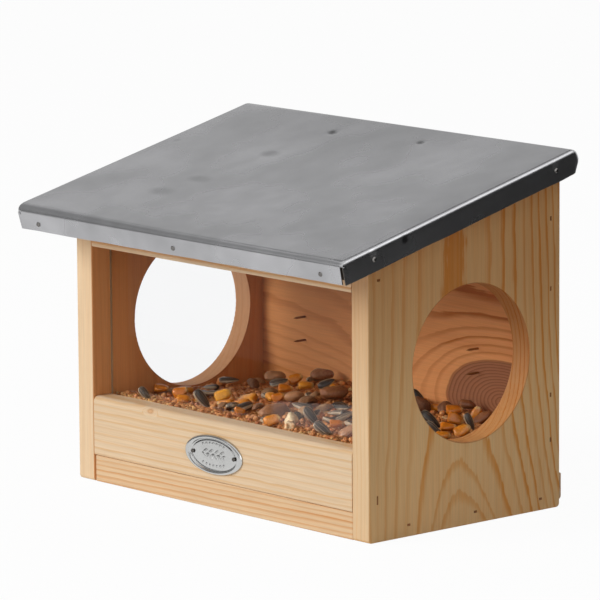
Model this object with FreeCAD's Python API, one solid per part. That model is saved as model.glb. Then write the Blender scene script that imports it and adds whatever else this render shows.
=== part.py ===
import FreeCAD
import Part
import math
import os

# Squirrel feeder box: two side panels with round entry holes, floor, front lip, top rail, back panel,
# a clear pane in grooves, and a sheet-covered roof that opens on two rear hinges.
# Millimetres. +X to the right seen from the front, +Y to the back, +Z up.
# Origin: middle of the floor board's underside, halfway along the side panels' depth.

# Box
BOX_WIDTH = 225.0
BOX_DEPTH = 131.0
FRONT_HEIGHT = 139.4
ROOF_SLOPE = 14.12
SIDE_THICKNESS = 12.4
BOARD_FIT = 0.2
EDGE_EASE = 0.8
CORNER_ROUNDING = 2.0

# Entry holes in the side panels
HOLE_RADIUS = 40.0
HOLE_FROM_FRONT = 69.5
HOLE_HEIGHT = 82.0
HOLE_EASE = 0.5

# Boards between the side panels
FLOOR_THICKNESS = 14.0
FLOOR_FRONT_RECESS = 0.7
LIP_THICKNESS = 12.0
LIP_HEIGHT = 31.0
LIP_ROUNDING = 3.0
RAIL_THICKNESS = 12.0
RAIL_HEIGHT = 15.0
RAIL_TOP_GAP = 0.4
BACK_THICKNESS = 13.0
BACK_TOP_GAP = 0.5

# Clear pane and its grooves
PANE_THICKNESS = 1.5
PANE_PLAY = 0.4
PANE_SETBACK = 0.2
PANE_TOP_GAP = 1.0
GROOVE_DEPTH = 4.0

# Mounting batten behind the back panel
BATTEN_THICKNESS = 13.6
BATTEN_LENGTH = 160.0
BATTEN_HEIGHT = 36.0
BATTEN_CENTRE_HEIGHT = 71.0

# Keyhole plates, let in flush with the batten's rear face
KEYHOLE_SPACING = 100.0
KEYHOLE_PLATE_WIDTH = 16.0
KEYHOLE_PLATE_HEIGHT = 30.0
KEYHOLE_PLATE_THICKNESS = 1.5
KEYHOLE_PLATE_FIT = 0.2
KEYHOLE_ENTRY_RADIUS = 4.5
KEYHOLE_SLOT_WIDTH = 4.8
KEYHOLE_SLOT_RISE = 5.5
KEYHOLE_ENTRY_DROP = 1.5
KEYHOLE_POCKET_MARGIN = 1.0
KEYHOLE_POCKET_DEPTH = 8.5
KEYHOLE_SCREW_REACH = 11.8
KEYHOLE_SCREW_RADIUS = 1.3
KEYHOLE_SCREW_HEAD_RADIUS = 2.5
KEYHOLE_SCREW_LENGTH = 11.0

# Roof: a board inside a folded sheet
ROOF_SIDE_OVERHANG = 12.6
ROOF_FRONT_OVERHANG = 25.7
ROOF_REAR_OVERHANG = 2.1
ROOF_BOARD_THICKNESS = 11.6
ROOF_REST_GAP = 0.3
SHEET_THICKNESS = 0.6
SHEET_FIT = 0.1
SHEET_BEND_RADIUS = 2.0
SHEET_SLIT_WIDTH = 0.8
SHEET_SLIT_INSET = 1.0
SHEET_SLIT_TOP_MARGIN = 3.0

# Nails through the sheet's flanges
FLANGE_NAIL_RADIUS = 0.8
FLANGE_NAIL_HEAD_RADIUS = 1.3
FLANGE_NAIL_HEAD_HEIGHT = 0.6
FLANGE_NAIL_LENGTH = 18.0
FRONT_NAIL_HEIGHT = 4.0
SIDE_NAIL_HEIGHT = 6.2
NAIL_INSET_LEFT = 14.6
NAIL_INSET_RIGHT = 17.7
NAIL_MIDDLE_SHIFT = -3.2
NAIL_INSET_FRONT = 20.6
NAIL_INSET_REAR = 16.1

# Brads through the side panels
BRAD_RADIUS = 0.6
BRAD_HEAD_LENGTH = 2.3
BRAD_HEAD_WIDTH = 1.3
BRAD_HEAD_THICKNESS = 0.5
BRAD_SUNK = 0.3
BRAD_LENGTH = 30.0
BRAD_TIP_LENGTH = 2.5
RAIL_BRAD_BACK = 7.0
RAIL_BRAD_DROP = 8.5
FLOOR_BRAD_FIRST = 26.6
FLOOR_BRAD_SPACING = 45.4
FLOOR_BRAD_COUNT = 3
FLOOR_BRAD_DROP = 1.0
BACK_BRAD_HEIGHTS = (35.6, 58.7, 113.1, 148.9)

# Staples through the side panels into the lip
STAPLE_CROWN = 4.4
STAPLE_WIRE = 1.0
STAPLE_LENGTH = 24.0
STAPLE_BACK = 5.6
STAPLE_DROP = 8.4

# Brads through batten and back panel, which come out inside the box
BATTEN_BRAD_LENGTH = 35.0
BATTEN_BRAD_REACH = 66.0
BATTEN_BRAD_SPACING = 12.5

# Roof hinges on the back panel and the rear flange
HINGE_INSET = 42.5
HINGE_WIDTH = 30.0
HINGE_LEAF_THICKNESS = 1.0
HINGE_KNUCKLE_RADIUS = 2.5
HINGE_PIN_RADIUS = 1.25
HINGE_PIN_CLEARANCE = 0.05
HINGE_PIN_HEAD_RADIUS = 1.9
HINGE_PIN_HEAD_THICKNESS = 0.8
HINGE_GAP = 0.4
HINGE_BODY_LEAF_HEIGHT = 17.0
HINGE_ROOF_LEAF_HEIGHT = 10.4
HINGE_SCREW_REACH = 9.0
HINGE_SCREW_RADIUS = 1.2
HINGE_SCREW_HEAD_RADIUS = 2.3
HINGE_SCREW_HEAD_HEIGHT = 1.2
HINGE_SCREW_LENGTH = 11.0
HINGE_BODY_SCREW_DROP = 10.5

# Badge plate on the lip
BADGE_WIDTH = 44.0
BADGE_HEIGHT = 21.0
BADGE_THICKNESS = 1.0
BADGE_RIM_WIDTH = 1.6
BADGE_RIM_RISE = 0.6
BADGE_SHIFT = -3.9
BADGE_DROP = 1.7
BADGE_PIN_SPACING = 31.9
BADGE_PIN_RADIUS = 0.6
BADGE_PIN_HEAD_RADIUS = 1.1
BADGE_PIN_HEAD_HEIGHT = 0.55
BADGE_PIN_LENGTH = 9.0

# Raised heads of nails, screws and pins narrow to this share of their radius
HEAD_TAPER = 0.6

# Seed mix on the floor
SEED_TOP_HEIGHT = 52.0
SEED_CROWN_RADIUS = 640.0
SEED_FIT = 0.4

# How far cutters stand out of the piece they cut, and joined shapes overlap
CUT_MARGIN = 1.0
OVERLAP = 0.01

# Places worked out from the sizes
FRONT_Y = -BOX_DEPTH / 2
REAR_Y = BOX_DEPTH / 2
SIDE_X = BOX_WIDTH / 2
INNER_X = SIDE_X - SIDE_THICKNESS
BOARD_X = INNER_X - BOARD_FIT
LIP_BOTTOM = FLOOR_THICKNESS + BOARD_FIT
LIP_TOP = LIP_BOTTOM + LIP_HEIGHT
RAIL_TOP = FRONT_HEIGHT - RAIL_TOP_GAP
BACK_INNER_Y = REAR_Y - BACK_THICKNESS
BATTEN_REAR_Y = REAR_Y + BATTEN_THICKNESS
HINGE_X = SIDE_X - HINGE_INSET
SLOPE = math.radians(ROOF_SLOPE)
PANE_FRONT_Y = FRONT_Y + LIP_THICKNESS + PANE_SETBACK + PANE_PLAY / 2
PANE_BACK_Y = PANE_FRONT_Y + PANE_THICKNESS

# The roof's own axes: X across, Y up the slope from the front flange, Z square to the slope.
ROOF_HALF_WIDTH = SIDE_X + ROOF_SIDE_OVERHANG
ROOF_LENGTH = (ROOF_FRONT_OVERHANG + BOX_DEPTH + ROOF_REAR_OVERHANG) / math.cos(SLOPE)
ROOF_DEPTH = ROOF_BOARD_THICKNESS + SHEET_FIT + SHEET_THICKNESS

X_AXIS = FreeCAD.Vector(1, 0, 0)
Y_AXIS = FreeCAD.Vector(0, 1, 0)
Z_AXIS = FreeCAD.Vector(0, 0, 1)


def side_top(y):
    """Height of the side panels' sloping top edge at y."""
    return FRONT_HEIGHT + (y - FRONT_Y) * math.tan(SLOPE)


ROOF_FRONT_Y = FRONT_Y - ROOF_FRONT_OVERHANG
ROOF_PLACE = FreeCAD.Placement(
    FreeCAD.Vector(0, ROOF_FRONT_Y, side_top(ROOF_FRONT_Y) + ROOF_REST_GAP / math.cos(SLOPE)),
    FreeCAD.Rotation(X_AXIS, ROOF_SLOPE),
)

# Hinge axis: clear of the back panel's rear face and of the roof's underside.
AXIS_Y = REAR_Y + HINGE_KNUCKLE_RADIUS + HINGE_GAP
AXIS_Z = side_top(AXIS_Y) - (HINGE_KNUCKLE_RADIUS + HINGE_GAP - ROOF_REST_GAP) / math.cos(SLOPE)


def vector(x, y, z):
    return FreeCAD.Vector(x, y, z)


def block(x_low, x_high, y_low, y_high, z_low, z_high):
    """A plain block between two corners."""
    corner = vector(x_low, y_low, z_low)
    return Part.makeBox(x_high - x_low, y_high - y_low, z_high - z_low, corner)


def rod(radius, start, end):
    """A round rod from one point to another."""
    run = end - start
    return Part.makeCylinder(radius, run.Length, start, run)


def long_edges(shape, direction):
    """Straight edges of a shape that run along a direction."""
    found = []
    for edge in shape.Edges:
        if isinstance(edge.Curve, Part.Line):
            run = edge.Vertexes[-1].Point - edge.Vertexes[0].Point
            if abs(run.normalize().dot(direction)) > 0.999:
                found.append(edge)
    return found


def profile_prism(points, x_low, x_high):
    """A prism along X from points given as (y, z)."""
    corners = [vector(x_low, y, z) for y, z in points]
    face = Part.Face(Part.makePolygon(corners + corners[:1]))
    return face.extrude(vector(x_high - x_low, 0, 0))


def board(y_low, y_high, z_low, z_high):
    """A board between the side panels with its four long edges eased."""
    plain = block(-BOARD_X, BOARD_X, y_low, y_high, z_low, z_high)
    return plain.makeFillet(EDGE_EASE, long_edges(plain, X_AXIS))


def low_corners(shape, y_low, y_high):
    """Edges along X at a shape's underside, between two depths."""
    found = []
    for edge in long_edges(shape, X_AXIS):
        spot = edge.CenterOfMass
        if spot.z < OVERLAP and y_low < spot.y < y_high:
            found.append(edge)
    return found


def side_panel_blank(side):
    """Side panel before it is cut: round low corners, all other edges eased."""
    outline = [
        (FRONT_Y, 0),
        (REAR_Y, 0),
        (REAR_Y, side_top(REAR_Y)),
        (FRONT_Y, side_top(FRONT_Y)),
    ]
    x_low, x_high = sorted((side * INNER_X, side * SIDE_X))
    blank = profile_prism(outline, x_low, x_high)
    blank = blank.makeFillet(CORNER_ROUNDING, low_corners(blank, 2 * FRONT_Y, 2 * REAR_Y))
    eased = []
    for edge in blank.Edges:
        reach = edge.BoundBox
        if reach.XLength < OVERLAP or reach.ZMin > FRONT_HEIGHT / 2:
            eased.append(edge)
    return blank.makeFillet(EDGE_EASE, eased)


def is_hole_rim(edge):
    """Whether an edge is a full rim of the entry hole."""
    reach = edge.BoundBox
    across = 2 * HOLE_RADIUS
    return abs(reach.YLength - across) < HOLE_EASE and abs(reach.ZLength - across) < HOLE_EASE


def side_panel(side):
    """Side panel with its entry hole and the pane's groove; side is -1 for left, 1 for right."""
    hole_y = FRONT_Y + HOLE_FROM_FRONT
    hole = rod(
        HOLE_RADIUS,
        vector(side * (INNER_X - CUT_MARGIN), hole_y, HOLE_HEIGHT),
        vector(side * (SIDE_X + CUT_MARGIN), hole_y, HOLE_HEIGHT),
    )
    panel = side_panel_blank(side).cut(hole)
    panel = panel.makeFillet(HOLE_EASE, [edge for edge in panel.Edges if is_hole_rim(edge)])
    groove_low, groove_high = sorted((side * (INNER_X - CUT_MARGIN), side * (INNER_X + GROOVE_DEPTH)))
    groove = block(
        groove_low,
        groove_high,
        PANE_FRONT_Y - PANE_PLAY / 2,
        PANE_BACK_Y + PANE_PLAY / 2,
        FLOOR_THICKNESS,
        side_top(REAR_Y),
    )
    return panel.cut(groove)


def floor_board():
    """Floor board; it runs past the back panel to the batten's rear face."""
    plain = block(-BOARD_X, BOARD_X, FRONT_Y + FLOOR_FRONT_RECESS, BATTEN_REAR_Y, 0, FLOOR_THICKNESS)
    rounded = plain.makeFillet(CORNER_ROUNDING, low_corners(plain, REAR_Y, 2 * BATTEN_REAR_Y))
    eased = []
    for edge in rounded.Edges:
        reach = edge.BoundBox
        if reach.XLength < OVERLAP or reach.ZMin > FLOOR_THICKNESS / 2 or reach.YMax < 0:
            eased.append(edge)
    return rounded.makeFillet(EDGE_EASE, eased)


def front_lip_board():
    """Low front board with a rounded top front edge."""
    plain = block(-BOARD_X, BOARD_X, FRONT_Y, FRONT_Y + LIP_THICKNESS, LIP_BOTTOM, LIP_TOP)
    rounded = []
    eased = []
    for edge in long_edges(plain, X_AXIS):
        spot = edge.CenterOfMass
        if spot.z > LIP_TOP - OVERLAP and spot.y < FRONT_Y + OVERLAP:
            rounded.append(edge)
        else:
            eased.append(edge)
    return plain.makeFillet(LIP_ROUNDING, rounded).makeFillet(EDGE_EASE, eased)


def front_top_rail():
    """Bar under the roof that ties the side panels' front corners."""
    return board(FRONT_Y, FRONT_Y + RAIL_THICKNESS, RAIL_TOP - RAIL_HEIGHT, RAIL_TOP)


def back_panel():
    """Back panel on the floor board, its top edge cut to the roof's slope."""
    outline = [
        (BACK_INNER_Y, FLOOR_THICKNESS + BOARD_FIT),
        (REAR_Y, FLOOR_THICKNESS + BOARD_FIT),
        (REAR_Y, side_top(REAR_Y) - BACK_TOP_GAP),
        (BACK_INNER_Y, side_top(BACK_INNER_Y) - BACK_TOP_GAP),
    ]
    panel = profile_prism(outline, -BOARD_X, BOARD_X)
    return panel.makeFillet(EDGE_EASE, long_edges(panel, X_AXIS))


def window_pane():
    """Clear pane that stands on the floor in both grooves."""
    reach = INNER_X + GROOVE_DEPTH - PANE_PLAY
    top = side_top(PANE_FRONT_Y) - PANE_TOP_GAP
    return block(-reach, reach, PANE_FRONT_Y, PANE_BACK_Y, FLOOR_THICKNESS + BOARD_FIT, top)


def mounting_batten():
    """Batten across the back panel's rear face."""
    low = BATTEN_CENTRE_HEIGHT - BATTEN_HEIGHT / 2
    high = BATTEN_CENTRE_HEIGHT + BATTEN_HEIGHT / 2
    half = BATTEN_LENGTH / 2
    plain = block(-half, half, REAR_Y, BATTEN_REAR_Y, low, high)
    batten = plain.makeFillet(EDGE_EASE, long_edges(plain, X_AXIS))
    for side in (-1, 1):
        batten = batten.cut(keyhole_recess(side))
    return batten


def keyhole_centre(side):
    """Middle of a keyhole plate on the batten's rear face."""
    return vector(side * KEYHOLE_SPACING / 2, BATTEN_REAR_Y, BATTEN_CENTRE_HEIGHT)


def keyhole_cutter(side, margin, depth):
    """Keyhole shape, grown by a margin, from the rear face to a depth."""
    spot = keyhole_centre(side)
    entry_z = spot.z - KEYHOLE_ENTRY_DROP
    slot_top = entry_z + KEYHOLE_ENTRY_RADIUS + KEYHOLE_SLOT_RISE
    half = KEYHOLE_SLOT_WIDTH / 2 + margin
    front = spot.y - depth
    rear = spot.y + CUT_MARGIN
    entry = rod(
        KEYHOLE_ENTRY_RADIUS + margin,
        vector(spot.x, front, entry_z),
        vector(spot.x, rear, entry_z),
    )
    end_z = slot_top - half + margin
    slot = block(spot.x - half, spot.x + half, front, rear, entry_z, end_z)
    end = rod(half, vector(spot.x, front, end_z), vector(spot.x, rear, end_z))
    return entry.fuse([slot, end]).removeSplitter()


def keyhole_recess(side):
    """Seat for a plate and the pocket for the hanging screw's head."""
    spot = keyhole_centre(side)
    half_width = KEYHOLE_PLATE_WIDTH / 2 + KEYHOLE_PLATE_FIT
    half_height = KEYHOLE_PLATE_HEIGHT / 2 + KEYHOLE_PLATE_FIT
    seat = block(
        spot.x - half_width,
        spot.x + half_width,
        spot.y - KEYHOLE_PLATE_THICKNESS,
        spot.y + CUT_MARGIN,
        spot.z - half_height,
        spot.z + half_height,
    )
    return seat.fuse(keyhole_cutter(side, KEYHOLE_POCKET_MARGIN, KEYHOLE_POCKET_DEPTH))


def keyhole_plate(side):
    """Flat plate with a keyhole and two screw holes."""
    spot = keyhole_centre(side)
    plain = block(
        spot.x - KEYHOLE_PLATE_WIDTH / 2,
        spot.x + KEYHOLE_PLATE_WIDTH / 2,
        spot.y - KEYHOLE_PLATE_THICKNESS,
        spot.y,
        spot.z - KEYHOLE_PLATE_HEIGHT / 2,
        spot.z + KEYHOLE_PLATE_HEIGHT / 2,
    )
    rounded = plain.makeFillet(KEYHOLE_SCREW_HEAD_RADIUS, long_edges(plain, Y_AXIS))
    return rounded.cut(keyhole_cutter(side, 0, KEYHOLE_PLATE_THICKNESS + CUT_MARGIN))


def keyhole_screws():
    """Countersunk screws that hold both keyhole plates."""
    screws = []
    for side in (-1, 1):
        spot = keyhole_centre(side)
        for step in (-1, 1):
            face = vector(spot.x, spot.y, spot.z + step * KEYHOLE_SCREW_REACH)
            head = Part.makeCone(
                KEYHOLE_SCREW_HEAD_RADIUS,
                KEYHOLE_SCREW_RADIUS,
                KEYHOLE_PLATE_THICKNESS,
                face,
                -Y_AXIS,
            )
            shank = rod(KEYHOLE_SCREW_RADIUS, face - Y_AXIS, face - Y_AXIS * KEYHOLE_SCREW_LENGTH)
            screws.append(head.fuse(shank).removeSplitter())
    return screws


def brad_outline(face, inward, spread, start, end):
    """Prism with the outline of a brad's oblong head, between two depths under a face."""
    long_half = spread * (BRAD_HEAD_LENGTH / 2)
    short_half = inward.cross(spread) * (BRAD_HEAD_WIDTH / 2)
    middle = face + inward * start
    corners = [
        middle + long_half + short_half,
        middle - long_half + short_half,
        middle - long_half - short_half,
        middle + long_half - short_half,
    ]
    outline = Part.Face(Part.makePolygon(corners + corners[:1]))
    return outline.extrude(inward * (end - start))


def pointed_nail(face, inward, spread, length, sunk):
    """A brad with an oblong head sunk under the face; spread is the head's long direction."""
    tip_start = face + inward * (length - BRAD_TIP_LENGTH)
    head = brad_outline(face, inward, spread, sunk, sunk + BRAD_HEAD_THICKNESS)
    shank = rod(BRAD_RADIUS, face + inward * sunk, tip_start)
    tip = Part.makeCone(BRAD_RADIUS, 0, BRAD_TIP_LENGTH, tip_start, inward)
    return head.fuse([shank, tip]).removeSplitter()


def side_brad_spots():
    """Places of the side brads as (y, z), each with its head's long direction."""
    spots = [(FRONT_Y + RAIL_BRAD_BACK, FRONT_HEIGHT - RAIL_BRAD_DROP, Y_AXIS)]
    for index in range(FLOOR_BRAD_COUNT):
        y = FRONT_Y + FLOOR_BRAD_FIRST + index * FLOOR_BRAD_SPACING
        spots.append((y, FLOOR_THICKNESS / 2 - FLOOR_BRAD_DROP, Y_AXIS))
    for height in BACK_BRAD_HEIGHTS:
        spots.append((REAR_Y - BACK_THICKNESS / 2, height, Z_AXIS))
    return spots


def side_brads(side):
    """Brads through one side panel, and the holes above their sunk heads."""
    nails = []
    holes = []
    inward = X_AXIS * -side
    for y, z, spread in side_brad_spots():
        face = vector(side * SIDE_X, y, z)
        nails.append(pointed_nail(face, inward, spread, BRAD_LENGTH, BRAD_SUNK))
        holes.append(brad_outline(face, inward, spread, -CUT_MARGIN, BRAD_SUNK))
    return nails, holes


def lip_staple(side):
    """Staple through one side panel into the lip's end, with its upright crown."""
    y = FRONT_Y + STAPLE_BACK
    z = LIP_BOTTOM + LIP_HEIGHT / 2 - STAPLE_DROP
    half = STAPLE_CROWN / 2
    wire = STAPLE_WIRE / 2
    crown_x = sorted((side * SIDE_X, side * (SIDE_X - STAPLE_WIRE)))
    leg_x = sorted((side * SIDE_X, side * (SIDE_X - STAPLE_LENGTH)))
    crown = block(crown_x[0], crown_x[1], y - wire, y + wire, z - half, z + half)
    legs = [
        block(leg_x[0], leg_x[1], y - wire, y + wire, z - half, z - half + STAPLE_WIRE),
        block(leg_x[0], leg_x[1], y - wire, y + wire, z + half - STAPLE_WIRE, z + half),
    ]
    return crown.fuse(legs).removeSplitter()


def batten_brads():
    """Brads through batten and back panel; their points stand inside the box."""
    nails = []
    for side in (-1, 1):
        for step in (-1, 1):
            z = BATTEN_CENTRE_HEIGHT + step * BATTEN_BRAD_SPACING / 2
            face = vector(side * BATTEN_BRAD_REACH, BATTEN_REAR_Y, z)
            nails.append(pointed_nail(face, -Y_AXIS, X_AXIS, BATTEN_BRAD_LENGTH, 0))
    return nails


def in_roof_axes(shape):
    """Move a shape from the roof's own axes to its place on the box."""
    placed = shape.copy()
    placed.Placement = ROOF_PLACE.multiply(placed.Placement)
    return placed


def rounded_tray(inset, height):
    """Block with rounded top and corner edges that both roof pieces come from, in the roof's axes."""
    half = ROOF_HALF_WIDTH - inset
    plain = block(-half, half, inset, ROOF_LENGTH - inset, 0, height)
    radius = max(SHEET_BEND_RADIUS - inset, EDGE_EASE)
    edges = []
    for edge in plain.Edges:
        if edge.CenterOfMass.z > height / 4:
            edges.append(edge)
    return plain.makeFillet(radius, edges)


def roof_board():
    """Wooden board inside the sheet, in the roof's axes."""
    return rounded_tray(SHEET_THICKNESS + SHEET_FIT, ROOF_BOARD_THICKNESS)


def roof_sheet():
    """Sheet folded down on four sides, slit at its corners, in the roof's axes."""
    outer = rounded_tray(0, ROOF_DEPTH)
    inner = rounded_tray(SHEET_THICKNESS, ROOF_DEPTH - SHEET_THICKNESS)
    sheet = outer.cut(inner)
    slit_high = ROOF_HALF_WIDTH - SHEET_SLIT_INSET
    slit_low = slit_high - SHEET_SLIT_WIDTH
    slit_top = ROOF_DEPTH - SHEET_SLIT_TOP_MARGIN
    ends = (
        (-CUT_MARGIN, SHEET_THICKNESS),
        (ROOF_LENGTH - SHEET_THICKNESS, ROOF_LENGTH + CUT_MARGIN),
    )
    for y_low, y_high in ends:
        for side in (-1, 1):
            x_low, x_high = sorted((side * slit_low, side * slit_high))
            sheet = sheet.cut(block(x_low, x_high, y_low, y_high, -CUT_MARGIN, slit_top))
    return sheet


def raised_head_pin(face, inward, radius, length, head_radius, head_height):
    """A shank driven into a face, with a tapered head that stands out of the face."""
    shank = rod(radius, face - inward * OVERLAP, face + inward * length)
    head = Part.makeCone(head_radius, head_radius * HEAD_TAPER, head_height, face, -inward)
    return head.fuse(shank).removeSplitter()


def flange_nail(face, inward):
    """A nail with a low head on the sheet's flange."""
    return raised_head_pin(
        face,
        inward,
        FLANGE_NAIL_RADIUS,
        FLANGE_NAIL_LENGTH,
        FLANGE_NAIL_HEAD_RADIUS,
        FLANGE_NAIL_HEAD_HEIGHT,
    )


def flange_nails():
    """Nails of all four flanges, in the roof's axes."""
    nails = []
    across = (
        -ROOF_HALF_WIDTH + NAIL_INSET_LEFT,
        NAIL_MIDDLE_SHIFT,
        ROOF_HALF_WIDTH - NAIL_INSET_RIGHT,
    )
    for x in across:
        nails.append(flange_nail(vector(x, 0, FRONT_NAIL_HEIGHT), Y_AXIS))
        nails.append(flange_nail(vector(x, ROOF_LENGTH, FRONT_NAIL_HEIGHT), -Y_AXIS))
    for side in (-1, 1):
        for y in (NAIL_INSET_FRONT, ROOF_LENGTH - NAIL_INSET_REAR):
            face = vector(side * ROOF_HALF_WIDTH, y, SIDE_NAIL_HEIGHT)
            nails.append(flange_nail(face, X_AXIS * -side))
    return nails


def hinge_axis_in_roof():
    """The hinge axis in the roof's own axes, at x of zero."""
    return ROOF_PLACE.inverse().multVec(vector(0, AXIS_Y, AXIS_Z))


def knuckle(x_low, x_high, axis):
    """Outside of one hinge knuckle."""
    return rod(HINGE_KNUCKLE_RADIUS, vector(x_low, axis.y, axis.z), vector(x_high, axis.y, axis.z))


def knuckle_bore(centre_x, axis):
    """The hole for the hinge pin through all knuckles."""
    reach = HINGE_WIDTH
    radius = HINGE_PIN_RADIUS + HINGE_PIN_CLEARANCE
    return rod(radius, vector(centre_x - reach, axis.y, axis.z), vector(centre_x + reach, axis.y, axis.z))


def hinge_body_leaf(side):
    """Leaf on the back panel, with the two outer knuckles."""
    axis = vector(0, AXIS_Y, AXIS_Z)
    centre = side * HINGE_X
    half = HINGE_WIDTH / 2
    middle = HINGE_WIDTH / 6
    leaf_top = AXIS_Z - HINGE_KNUCKLE_RADIUS - HINGE_GAP
    leaf_rear = REAR_Y + HINGE_LEAF_THICKNESS
    bottom = AXIS_Z - HINGE_BODY_LEAF_HEIGHT
    leaf = block(centre - half, centre + half, REAR_Y, leaf_rear, bottom, leaf_top)
    pieces = []
    for x_low, x_high in ((-half, -middle - HINGE_GAP), (middle + HINGE_GAP, half)):
        low = centre + x_low
        high = centre + x_high
        pieces.append(block(low, high, REAR_Y, leaf_rear, bottom, AXIS_Z))
        pieces.append(knuckle(low, high, axis))
    return leaf.fuse(pieces).cut(knuckle_bore(centre, axis)).removeSplitter()


def hinge_roof_leaf(side):
    """Leaf on the rear flange with the middle knuckle, in the roof's axes."""
    axis = hinge_axis_in_roof()
    centre = side * HINGE_X
    half = HINGE_WIDTH / 2
    middle = HINGE_WIDTH / 6
    rear = ROOF_LENGTH + HINGE_LEAF_THICKNESS
    leaf = block(centre - half, centre + half, ROOF_LENGTH, rear, HINGE_GAP / 2, HINGE_ROOF_LEAF_HEIGHT)
    low = centre - middle
    high = centre + middle
    neck = block(low, high, ROOF_LENGTH, rear, axis.z, HINGE_GAP)
    barrel = knuckle(low, high, axis)
    return leaf.fuse([neck, barrel]).cut(knuckle_bore(centre, axis)).removeSplitter()


def hinge_pin(side):
    """Hinge pin with a flat head at each end."""
    centre = side * HINGE_X
    half = HINGE_WIDTH / 2
    start = vector(centre - half, AXIS_Y, AXIS_Z)
    end = vector(centre + half, AXIS_Y, AXIS_Z)
    pin = rod(HINGE_PIN_RADIUS, start, end)
    heads = [
        rod(HINGE_PIN_HEAD_RADIUS, start - X_AXIS * HINGE_PIN_HEAD_THICKNESS, start),
        rod(HINGE_PIN_HEAD_RADIUS, end, end + X_AXIS * HINGE_PIN_HEAD_THICKNESS),
    ]
    return pin.fuse(heads).removeSplitter()


def hinge_screw(face, inward):
    """A screw with a low round head on a hinge leaf."""
    return raised_head_pin(
        face,
        inward,
        HINGE_SCREW_RADIUS,
        HINGE_SCREW_LENGTH,
        HINGE_SCREW_HEAD_RADIUS,
        HINGE_SCREW_HEAD_HEIGHT,
    )


def hinge_body_screws():
    """Screws of both body leaves."""
    screws = []
    for side in (-1, 1):
        for step in (-1, 1):
            x = side * HINGE_X + step * HINGE_SCREW_REACH
            face = vector(x, REAR_Y + HINGE_LEAF_THICKNESS, AXIS_Z - HINGE_BODY_SCREW_DROP)
            screws.append(hinge_screw(face, -Y_AXIS))
    return screws


def hinge_roof_screws():
    """Screws of both roof leaves, in the roof's axes."""
    screws = []
    for side in (-1, 1):
        for step in (-1, 1):
            x = side * HINGE_X + step * HINGE_SCREW_REACH
            face = vector(x, ROOF_LENGTH + HINGE_LEAF_THICKNESS, ROOF_BOARD_THICKNESS / 2)
            screws.append(hinge_screw(face, -Y_AXIS))
    return screws


def badge_centre():
    """Middle of the badge on the lip's front face."""
    return vector(BADGE_SHIFT, FRONT_Y, LIP_BOTTOM + LIP_HEIGHT / 2 - BADGE_DROP)


def oval_plate(width, height, rise):
    """Oval plate that stands out from the lip's front face."""
    spot = badge_centre()
    upright = FreeCAD.Rotation(X_AXIS, 90)
    ellipse = Part.Ellipse(vector(0, 0, 0), width / 2, height / 2)
    face = Part.Face(Part.Wire(ellipse.toShape()))
    plate = face.extrude(vector(0, 0, rise))
    plate.Placement = FreeCAD.Placement(spot, upright)
    return plate


def badge_plate():
    """Oval badge with a raised rim and a bare middle."""
    full = oval_plate(BADGE_WIDTH, BADGE_HEIGHT, BADGE_THICKNESS + BADGE_RIM_RISE)
    dish_width = BADGE_WIDTH - 2 * BADGE_RIM_WIDTH
    dish_height = BADGE_HEIGHT - 2 * BADGE_RIM_WIDTH
    dish = oval_plate(dish_width, dish_height, BADGE_THICKNESS + BADGE_RIM_RISE + CUT_MARGIN)
    floor_part = oval_plate(dish_width, dish_height, BADGE_THICKNESS)
    return full.cut(dish).fuse(floor_part).removeSplitter()


def badge_pins():
    """Two pins through the badge into the lip."""
    spot = badge_centre()
    pins = []
    for side in (-1, 1):
        face = vector(spot.x + side * BADGE_PIN_SPACING / 2, spot.y - BADGE_THICKNESS, spot.z)
        pins.append(
            raised_head_pin(
                face,
                Y_AXIS,
                BADGE_PIN_RADIUS,
                BADGE_PIN_LENGTH,
                BADGE_PIN_HEAD_RADIUS,
                BADGE_PIN_HEAD_HEIGHT,
            )
        )
    return pins


def seed_mix():
    """Heap of feed between pane and back panel, crowned in the middle."""
    half = INNER_X - SEED_FIT
    y_low = PANE_BACK_Y + SEED_FIT
    y_high = BACK_INNER_Y - SEED_FIT
    bed_top = SEED_TOP_HEIGHT + CUT_MARGIN
    bed = block(-half, half, y_low, y_high, FLOOR_THICKNESS + BOARD_FIT, bed_top)
    middle = vector(0, (y_low + y_high) / 2, SEED_TOP_HEIGHT - SEED_CROWN_RADIUS)
    crown = Part.makeSphere(SEED_CROWN_RADIUS, middle)
    return bed.common(crown)


def drill(shape, cutters):
    """Cut a list of fasteners out of the piece they are driven into."""
    return shape.cut(cutters)


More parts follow.
